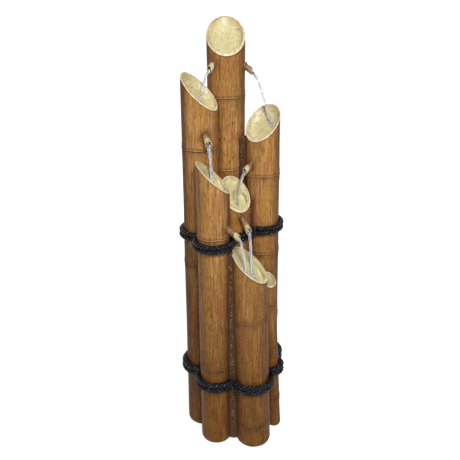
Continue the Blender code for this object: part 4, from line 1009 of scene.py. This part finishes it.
def bowl_piece(culm, material):
    """A cream bowl with a soft-edged, slightly uneven rim on the culm's cut."""
    seed = 90 * culm.x + 60 * culm.y
    hollow = min(0.25 + 60 * culm.dish_shift[0], 0.7)
    inner, edge, under = bowl_rings(culm)
    points, values = [], defaultdict(list)
    for order, (share, r, h, rim, line) in enumerate(inner + edge + under, -len(inner)):
        cx, cy = (share * c for c in culm.rim_shift)
        if order < 0 or order >= len(edge):
            cx, cy = dish_centre(culm, share)
        wall = pool = 0
        if order < 0:
            wall = wall_shade(culm, share)
            pool = hollow * (1 - smooth(0.3, culm.ledge or 0.85, share))
        for ca, sa in circle(BOWL_AROUND):
            uneven = wave(2.4 * ca + seed, 2.4 * sa, 0.5)
            rr = r + (0.0005 * uneven * share if -3 <= order < 4 else 0)
            dx = cx + rr * ca
            dy = cy + rr * sa
            lump = 0.0003 * wave(dx * 220 + seed, dy * 220, 2) if order < 0 else 0
            z = culm.mouth + (culm.gx * dx + culm.gy * dy) + h + lump
            z += 0.0003 * min(0, uneven) * rim
            x = culm.middle.x + dx + culm.lean * (z - culm.mouth)
            points.append((x, culm.middle.y + dy, z))
            # The painted shadow line at the dish's edge is stronger on the right side, as if lit
            # from the right
            strength = 0.4 + 0.35 * max(ca, 0) + 0.9 * wave(1.6 * ca - seed, 1.6 * sa, 3.1)
            note(values, rim=rim, line=clamp(line * strength), depth=wall, hollow=pool)
    faces = closed_faces(len(inner + edge + under), BOWL_AROUND)
    ob = add_piece(culm.name + "_bowl_glaze", points, faces, material, values)
    ob.data = keep_numbers(ob.data, [drain(culm)], values, material)
    return ob


def keep_numbers(mesh, tools, keys, material):
    """Cut the tools out of a mesh and give each new point the numbers of the nearest old one."""
    tree = KDTree(len(mesh.vertices))
    for v in mesh.vertices:
        tree.insert(v.co, v.index)
    tree.balance()
    old = {key: [entry.value for entry in mesh.attributes[key].data] for key in keys}
    new = carved(mesh, tools)
    nearest = [tree.find(v.co)[1] for v in new.vertices]
    values = {key: [old[key][index] for index in nearest] for key in keys}
    finish_mesh(new, values, material, 50)
    return new


# Spouts


def spout_piece(spout, material, seed):
    """A branch stub: a rough collar at the culm, a slight taper and a bared, upright-cut end."""
    x, y, z = basis(spout.way)
    length = (spout.tip - spout.root).length
    flat = Vector((spout.way.x, spout.way.y, 0)).normalized()
    wall = spout.owner.wall / max(flat.dot(spout.way), 0.2) + 0.0025
    points, values = [], defaultdict(list)

    def add_ring(at, radius, cut, mouth, rough=1):
        for ca, sa in circle(STUB_SIDES):
            r = radius + 0.0004 * rough * wave(1.8 * ca + seed, 1.8 * sa, at * 170)
            p = spout.root + z * at + x * (r * ca) + y * (r * sa)
            gap = (spout.tip - p).dot(flat) / flat.dot(z)
            if cut is not None:
                p += z * (gap - cut)
                gap = cut
            ragged = spout.pale_end + 0.0016 * wave(3 * ca, 3 * sa, seed)
            points.append(p)
            # root: painted shade where the stub meets the culm; mouth: painted shade inside the
            # bore
            note(values, mouth=mouth, pale=1 - smooth(ragged - 0.0015, ragged + 0.001, gap),
                 root=0.8 * (1 - smooth(0.001, 0.007, at - wall)))

    for i in range(STUB_STEPS):
        at = (length - 0.0042) * i / (STUB_STEPS - 1)
        out = max(at - wall, 0)
        knot = 0.0002 * bell(out - 0.01, 0.002)
        add_ring(at, STUB_RADIUS + STUB_COLLAR * bell(out, 0.0026) + knot, None, 0)
    for cut, radius, mouth in STUB_END:
        add_ring(length, radius, cut, mouth, 0.4)
    add_ring(length - 0.013, 0.004, None, 1, 0.3)
    faces = closed_faces(len(points) // STUB_SIDES, STUB_SIDES)
    return add_piece(spout.name + "_stub", points, faces, material, values)


# Ropes


def tangent(a, reach_a, b, reach_b):
    """The point at two given distances from two others, on the right of the way between them."""
    way = b - a
    gap = way.length
    along = (gap * gap + reach_a * reach_a - reach_b * reach_b) / (2 * gap)
    out = math.sqrt(max(reach_a * reach_a - along * along, 0))
    way.normalize()
    return a + way * along + Vector((way.y, -way.x, 0)) * out


def bearing(way):
    return math.atan2(way.y, way.x)


def arc(centre, arm, start, span):
    """Points in even short steps round part of a circle."""
    steps = max(2, round(abs(span) * arm / ROPE_STEP))
    turns = [start + span * k / steps for k in range(steps)]
    return [centre + arm * Vector((math.cos(a), math.sin(a), 0)) for a in turns]


def rope_loop(ring, height, radius):
    """A level loop round the culms that dips into the grooves, in even short steps."""
    flat = Vector((1, 1, 0))
    centres = [axis_at(culm, height) * flat for culm in ring]
    arms = [radius_at(culm, height) + ROPE_CLEARANCE + radius for culm in ring]
    count = len(ring)
    dips = [tangent(centres[i], arms[i] + ROPE_DIP_RADIUS, centres[(i + 1) % count],
                    arms[(i + 1) % count] + ROPE_DIP_RADIUS) for i in range(count)]
    loop = []
    for i in range(count):
        start = bearing(dips[i - 1] - centres[i])
        span = (bearing(dips[i] - centres[i]) - start) % (2 * math.pi)
        loop += arc(centres[i], arms[i], start, span)
        start = bearing(centres[i] - dips[i])
        span = (start - bearing(centres[(i + 1) % count] - dips[i])) % (2 * math.pi)
        loop += arc(dips[i], ROPE_DIP_RADIUS, start, -span)
    return loop


def rope_frames(path):
    """Places, outward and upward directions and lengths so far along the rope's middle."""
    frames = []
    length = 0
    last = len(path) - 1
    for k in range(len(path)):
        way = (path[min(k + 1, last)] - path[max(k - 1, 0)]).normalized()
        out = way.cross(UP).normalized()
        frames.append((path[k], out, out.cross(way), length))
        if k < last:
            length += (path[k + 1] - path[k]).length
    return frames, length


def strand_points(middles, aways, ats, scale, values):
    """Points of one strand, and their numbers for its yarns and grooves."""
    points = []
    last = len(middles) - 1
    for k, (middle, away, at) in enumerate(zip(middles, aways, ats)):
        along = (middles[min(k + 1, last)] - middles[max(k - 1, 0)]).normalized()
        side = along.cross(away).normalized()
        away = side.cross(along)
        for ca, sa in circle(STRAND_SIDES):
            points.append(middle + (away * ca + side * sa) * STRAND_RADIUS * scale)
            yarn = math.sin(YARNS * math.atan2(sa, ca) + at * YARN_LAY)
            # groove is painted shade between the strands, and its crests carry the painted glints
            note(values, yarn=0.5 + 0.5 * yarn, groove=1 - smooth(0.5, 0.97, ca))
    return points


def rope_piece(node, ring_names, material):
    """The rope's laid strands, two turns with opposite lay so that the pair looks plaited."""
    low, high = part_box(node)
    height = (low.z + high.z) / 2 - ROPE_SAG
    scale = ROPE_SCALES[node]
    pitch = ROPE_PITCH * scale
    ring = [CULMS[name] for name in ring_names]
    points, faces, values = [], [], defaultdict(list)
    for turn, lay in enumerate((-1, 1)):
        base = height + (turn - 1) * pitch
        loop = rope_loop(ring, base + 0.5 * pitch, ROPE_RADIUS * scale)
        path = [Vector((p.x, p.y, base + pitch * k / len(loop))) for k, p in enumerate(loop)]
        path.append(path[0] + Vector((0, 0, pitch)))
        frames, length = rope_frames(path)
        laps = round(length / (ROPE_LAY * scale))
        for strand in range(STRANDS):
            first = len(points)
            middles, aways = [], []
            for centre, out, up, at in frames:
                a = 2 * math.pi * (lay * laps * at / length + strand / STRANDS)
                away = out * math.cos(a) + up * math.sin(a)
                loose = 1 + 0.08 * wave(at * 90, strand * 3, turn * 7)
                middles.append(centre + away * STRAND_REACH * scale * loose)
                aways.append(away)
            ats = [frame[3] for frame in frames]
            points += strand_points(middles, aways, ats, scale, values)
            strand_faces = closed_faces(len(frames), STRAND_SIDES)
            faces += [tuple(first + v for v in face) for face in strand_faces]
    return add_piece(node + "_strands", points, faces, material, values)


# Mortar beads in the grooves


def grout_piece(names, low, high, depth, material, seed, front=False):
    """A rough bead of mortar that bridges the outer groove between two neighbouring culms."""
    a, b = (CULMS[name] for name in names)
    rows = int((high - low) / MORTAR_ROW)
    points, sides = [], []
    for i in range(rows + 1):
        z = low + (high - low) * i / rows
        pa, pb = axis_at(a, z), axis_at(b, z)
        way = (pb - pa).normalized()
        out = Vector((way.y, -way.x, 0))
        outward = out.dot((pa + pb) * Vector((1, 1, 0)))
        if (out.y > 0) if front else (outward < 0):
            out = -out
        fade = smooth(0, 0.006, z - low) * smooth(0, 0.006, high - z)
        d = depth * (0.55 + 0.45 * fade) + 0.0018 * wave(z * 60, seed, 0.3)
        reach = [math.sqrt(max(r * r - d * d, 1e-9)) for r in (radius_at(a, z), radius_at(b, z))]
        left = pa + way * reach[0] + out * d
        right = pb - way * reach[1] + out * d
        for j in range(MORTAR_ACROSS):
            t = -0.12 + 1.24 * j / (MORTAR_ACROSS - 1)
            rough = 0.0011 * wave(z * 330, t * 5, seed)
            rough += 0.0007 * wave(z * 800, t * 11, seed)
            belly = 0.0006 * math.sin(math.pi * clamp(t))
            sunk = 0.0012 * abs(2 * t - 1) ** 4
            points.append(left + (right - left) * t + out * (rough + belly - sunk))
            # side: painted shade at the bead's edges
            ragged = abs(t - 0.5) * (right - left).length
            ragged += 0.0012 * wave(z * 240, t * 4, seed)
            sides.append(smooth(MORTAR_BARE, MORTAR_BARE + MORTAR_BLEND, ragged))
    name = "_".join(("mortar", *names) + (("front",) if front else ()))
    faces = grid_faces(rows + 1, MORTAR_ACROSS, False)
    ob = add_piece(name, points, faces, material, {"side": sides})
    thicken(ob, 0.002, 0)
    return ob


# Access panel, its screws and the cord gland, at the back of the tall culm


def rounded_loop(half_width, half_height, corner):
    """Points of a rectangle with round corners, the same number on every call."""
    loop = []
    for k, (sx, sy) in enumerate(((1, -1), (1, 1), (-1, 1), (-1, -1))):
        centre = (sx * (half_width - corner), sy * (half_height - corner))
        for i in range(CORNER_STEPS + 1):
            a = math.radians(-90 + 90 * k + 90 * i / CORNER_STEPS)
            loop.append((centre[0] + corner * math.cos(a), centre[1] + corner * math.sin(a)))
        x, y = loop[-1]
        side = 2 * ((half_height if k % 2 == 0 else half_width) - corner)
        wx, wy = ((0, 1), (-1, 0), (0, -1), (1, 0))[k]
        loop += [(x + wx * side * i / EDGE_STEPS, y + wy * side * i / EDGE_STEPS)
                 for i in range(1, EDGE_STEPS)]
    return loop


def panel_piece(material):
    """The curved panel over the pump's opening, its edges rounded, its grain the culm's."""
    low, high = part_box("access_cover")
    centre_z = (low.z + high.z) / 2
    half_height = (high.z - low.z) / 2
    face = high.y - TALL.y
    half_width = math.radians(PANEL_HALF_ANGLE) * face
    rings = [(0, 0, scale) for scale in PANEL_SCALES]
    for angle in (0, 30, 60, 90):
        a = math.radians(angle)
        rings.append((PANEL_EDGE * (1 - math.sin(a)), PANEL_EDGE * (1 - math.cos(a)), 1))
    rings += [(0, PANEL_THICKNESS, scale) for scale in PANEL_BACK_SCALES]
    points = []
    for shrink, sink, scale in rings:
        corner = PANEL_CORNER - 0.5 * shrink
        for u, v in rounded_loop(half_width - shrink, half_height - shrink, corner):
            z = centre_z + v * scale
            r = face - sink + TALL.taper * (z - centre_z)
            a = math.radians(90) - u * scale / face
            points.append((TALL.x + r * math.cos(a), TALL.y + r * math.sin(a), z))
    culm_numbers = skin_numbers(TALL)

    def numbers(p):
        found = culm_numbers(p)
        u = abs(math.atan2(p.x - TALL.x, p.y - TALL.y)) * face
        rim = min(half_width - u, half_height - abs(p.z - centre_z))
        found["scar"] = max(found["scar"], 0.5 * (1 - smooth(0, 0.0012, rim)))
        return found

    faces = closed_faces(len(rings), len(points) // len(rings))
    return add_piece("back_panel", points, faces, material, body="cover", numbers=numbers)


def outer_end(node):
    """Outer end of a fitting's axis at the back, with its length and radius."""
    low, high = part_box(node)
    middle = (low + high) / 2
    return Vector((middle.x, high.y, middle.z)), high.y - low.y, (high.x - low.x) / 2


def screw_piece(node, body, material):
    """A pan-head screw: domed head with a slot, seated on the panel."""
    start, length, _ = outer_end(node)
    turns = int((length - 0.0032) / SCREW_PITCH)
    profile = list(SCREW_HEAD)
    profile += [(0.0015 - 0.0002 * (k % 2), -0.0021 - SCREW_PITCH * k) for k in range(turns)]
    profile += [(0.0008, 0.0003 - length), (0.0001, -length)]
    slot = brick((start.x - 0.005, start.y - 0.0009, start.z - 0.0004),
                 (start.x + 0.005, start.y + 0.002, start.z + 0.0004))
    points, faces = turned(start, -BACK, [(r, -at) for r, at in profile])
    return add_piece(node + "_head", points, faces, material, body=body, tools=[slot])


def gland_piece(material):
    """The rubber gland with its round flange and open bore."""
    start, length, outer = outer_end("cord_gland")
    profile = [(0.0036, 0.0052), (0.0034, 0.001), (0.0036, 0.0003), (0.0042, 0),
               (outer - 0.001, 0.0001), (outer - 0.0003, 0.0005), (outer, 0.0011),
               (outer - 0.0002, 0.0018), (0.006, 0.002), (0.006, length - 0.0004),
               (0.0056, length), (0.0034, length), (0.0033, 0.0056)]
    return add_piece("gland_body", *turned(start, -BACK, profile), material)


# Water


def fall_path(spout):
    """Middle of the stream from the spout's bore to the surface of the bowl below."""
    catcher = spout.catcher
    lip = spout.tip + Vector((0, 0, -0.0016))
    path = [spout.tip - spout.way * t + Vector((0, 0, -0.002)) * (1 - t / 0.012)
            for t in (0.01, 0.007, 0.004, 0.002)]
    velocity = spout.way * spout.speed
    t = 0
    while t < FALL_END:
        p = lip + velocity * t + Vector((0, 0, -0.5 * GRAVITY * t * t))
        path.append(p)
        reach = math.hypot(p.x - catcher.middle.x, p.y - catcher.middle.y)
        if reach < catcher.dish + 0.002 and p.z < bowl_surface(catcher, p.x, p.y) + 0.0004:
            break
        t += FALL_STEP
    return path


def tube(path, radii, seed):
    """Points and faces of a wavy tube of water along a path."""
    points = []
    last = len(path) - 1
    side = (path[1] - path[0]).normalized().cross(UP)
    for k in range(len(path)):
        way = (path[min(k + 1, last)] - path[max(k - 1, 0)]).normalized()
        side = (side - way * side.dot(way)).normalized()
        other = way.cross(side)
        for ca, sa in circle(WATER_SIDES):
            r = radii[k] * (1 + 0.26 * wave(1.2 * ca + seed, 1.2 * sa, k * 0.11)
                            + 0.12 * wave(3 * ca, 3 * sa + seed, k * 0.26))
            points.append(path[k] + side * (r * ca) + other * (r * WATER_SQUASH * sa))
    return points, closed_faces(len(path), WATER_SIDES)


def water_piece(spout, material, seed):
    """A stream that narrows as it falls and spreads where it lands; gives its landing place."""
    path = fall_path(spout)
    radii, lip = [], []
    for k in range(len(path)):
        t = k / (len(path) - 1)
        radii.append(spout.radius * (1.1 - spout.taper * t + 0.4 * smooth(0.88, 1, t)))
        # lip: nearness to the spout, which sets the painted dark reflections and the clearness
        lip += [1 - smooth(0.1, 0.42, t)] * WATER_SIDES
    points, faces = tube(path, radii, seed)
    fall = add_piece(spout.name + "_fall", points, faces, material, {"lip": lip})
    return path[-1]


def film_piece(spout, start, material, seed):
    """A thin, rippled run of water down the bowl from where the fall lands."""
    culm = spout.catcher
    end_x, end_y = spout.run_end
    goal = Vector((culm.middle.x + end_x, culm.middle.y + end_y, 0))
    here = Vector((start.x, start.y, 0))
    way = (goal - here).normalized()
    side = Vector((-way.y, way.x, 0))
    here -= way * 0.002
    points = []
    for k in range(RUN_STEPS):
        t = k / (RUN_STEPS - 1)
        p = here.lerp(goal, t) + side * (0.0045 * wave(t * 3.4, seed) * math.sin(math.pi * t))
        spread = 0.62 + 0.45 * wave(t * 5, seed + 5) + 0.5 * (1 - t) ** 4 + 0.35 * t ** 2
        half = spout.run_width * spread
        for j in range(RUN_ACROSS):
            u = 2 * j / (RUN_ACROSS - 1) - 1
            q = p + side * (u * half)
            ripple = 1 + 0.8 * wave(t * 22, u * 2.6, seed) + 0.5 * wave(t * 46, u * 6, seed)
            lift = 0.0011 * (1 - u * u) * ripple - 0.0002
            points.append((q.x, q.y, bowl_surface(culm, q.x, q.y) + lift))
    faces = grid_faces(RUN_STEPS, RUN_ACROSS, False)
    ob = add_piece(spout.name + "_run", points, faces, material)
    thicken(ob, 0.0006, -1)
    return ob


def back_holes():
    """Tools for the opening, the screws and the gland in the back of the tall culm."""
    low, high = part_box("access_cover")
    half = OPENING_WIDTH / 2
    holes = [brick((TALL.x - half, TALL.y + 0.008, low.z + OPENING_MARGIN),
                   (TALL.x + half, TALL.y + 0.06, high.z - OPENING_MARGIN))]
    for node, radius in BACK_HOLES.items():
        low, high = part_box(node)
        at = Vector((TALL.x, low.y - 0.002, (low.z + high.z) / 2))
        holes.append(rod(at, at + BACK * 0.03, radius))
    return holes


# Put the pieces together

BAMBOO = bamboo_material()
BOWL = bowl_material()
STUB = stub_material()
ROPE = rope_material()
GROUT = grout_material()
STREAM = water_material("falling_water", 0.66, 430, 0.16)
FILM = water_material("running_water", 0.75, 560, 0.6)
STEEL = plain_material("stainless_steel", (196, 196, 196), 0.28, 1, 900)
RUBBER = plain_material("black_rubber", (30, 30, 30), 0.72)

holes = back_holes()
for culm in CULMS.values():
    skin = culm_piece(culm, BAMBOO, holes if culm is TALL else ())
    nodes = [node for node in frame["nodes"] if node.startswith(culm.name + "_culm")]
    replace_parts(skin, *nodes)
    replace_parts(bowl_piece(culm, BOWL), culm.name + "_bowl")
for index, spout in enumerate(SPOUTS):
    stub = spout_piece(spout, STUB, 2.1 * index)
    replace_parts(stub, spout.name + "_spout")
    landing = water_piece(spout, STREAM, 4 + 1.7 * index)
    film_piece(spout, landing, FILM, 1.3 * index)
for node, names in (("high_rope", HIGH_ROPE_RING), ("low_rope", LOW_ROPE_RING)):
    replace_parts(rope_piece(node, names, ROPE), node)
for index, (a, b, low, high, depth) in enumerate(GROOVES):
    grout_piece((a, b), low, high, depth, GROUT, 2.3 * index)
grout_piece(("tall", "right"), 0.46, 0.628, 0.015, GROUT, 31, True)
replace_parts(panel_piece(BAMBOO), "access_cover")
for node, body in (("cover_screw_1", "screw_1"), ("cover_screw_2", "screw_2")):
    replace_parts(screw_piece(node, body, STEEL), node)
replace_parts(gland_piece(RUBBER), "cord_gland")

FITTINGS = {
    "pump_plastic": plain_material("black_plastic", (30, 30, 33), 0.42),
    "clear_plastic": plain_material("clear_hose", (214, 222, 220), 0.16, transmission=0.7),
    "rubber": RUBBER, "steel": STEEL,
    "magnet": plain_material("ferrite", (66, 66, 70), 0.55),
    "ceramic": plain_material("ground_ceramic", (226, 224, 216), 0.25),
    "filler": GROUT, "bamboo": BAMBOO, "rope": ROPE, "bowl": BOWL, "stub": STUB}
for entry in frame["record"]["subparts"]:
    node = frame["nodes"][entry["node"]]
    node.data.materials.clear()
    node.data.materials.append(FITTINGS[entry["material_slot"]])


# Floor, light and camera


def studio_floor():
    bpy.ops.mesh.primitive_plane_add(size=60, location=(0, 0, 0))
    floor = bpy.context.object
    floor.name = "studio_floor"
    s = Surface("pale_floor")
    s.set(Base_Color=(0.9, 0.9, 0.9, 1), Roughness=0.95, Specular_IOR_Level=0.1)
    s.set(Emission_Color=WHITE)
    reach = s.add("ShaderNodeVectorMath", {0: s.place}, operation="LENGTH").outputs["Value"]
    glow = s.step(reach, *FLOOR_GLOW_REACH, FLOOR_GLOW_NEAR, FLOOR_GLOW_FAR)
    s.set(Emission_Strength=s.product(s.seen_rays(), glow))
    floor.data.materials.append(s.material)


def white_world():
    """A world that is seen white and gives only a little light."""
    world = bpy.data.worlds.new("white_studio")
    bpy.context.scene.world = world
    world.use_nodes = True
    world.node_tree.nodes.clear()
    n = Nodes(world.node_tree)
    skies = [n.add("ShaderNodeBackground", {"Color": WHITE, "Strength": strength}).outputs[0]
             for strength in (WORLD_LIGHT, 1)]
    mix = n.add("ShaderNodeMixShader", {0: n.seen_rays(), 1: skies[0], 2: skies[1]})
    n.add("ShaderNodeOutputWorld", {"Surface": mix.outputs[0]})


def area_light(name, place, target, size, power):
    data = bpy.data.lights.new(name, "AREA")
    data.shape = "DISK"
    data.size = size
    data.energy = power
    lamp = placed(name, data)
    lamp.location = place
    lamp.rotation_euler = (Vector(target) - Vector(place)).to_track_quat("-Z", "Y").to_euler()


def camera():
    data = bpy.data.cameras.new("camera")
    data.lens = FOCAL_LENGTH
    data.sensor_width = SENSOR
    ob = placed("camera", data)
    turn = Matrix.Rotation(math.radians(90) - CAMERA_PITCH, 4, "X")
    ob.matrix_world = (Matrix.Translation(CAMERA_PLACE) @ turn
                       @ Matrix.Rotation(CAMERA_ROLL, 4, "Z"))
    bpy.context.scene.camera = ob


studio_floor()
white_world()
area_light("key", (0.28, -1.32, 1.75), (0, 0, 0.5), 0.6, 29.5)
area_light("fill", (-1.2, -0.9, 0.95), (0, 0, 0.45), 1, 1)
area_light("back", (0, 1.8, 1.6), (0, 0, 0.4), 1, 14)
camera()
bpy.context.scene.view_settings.view_transform = "Standard"
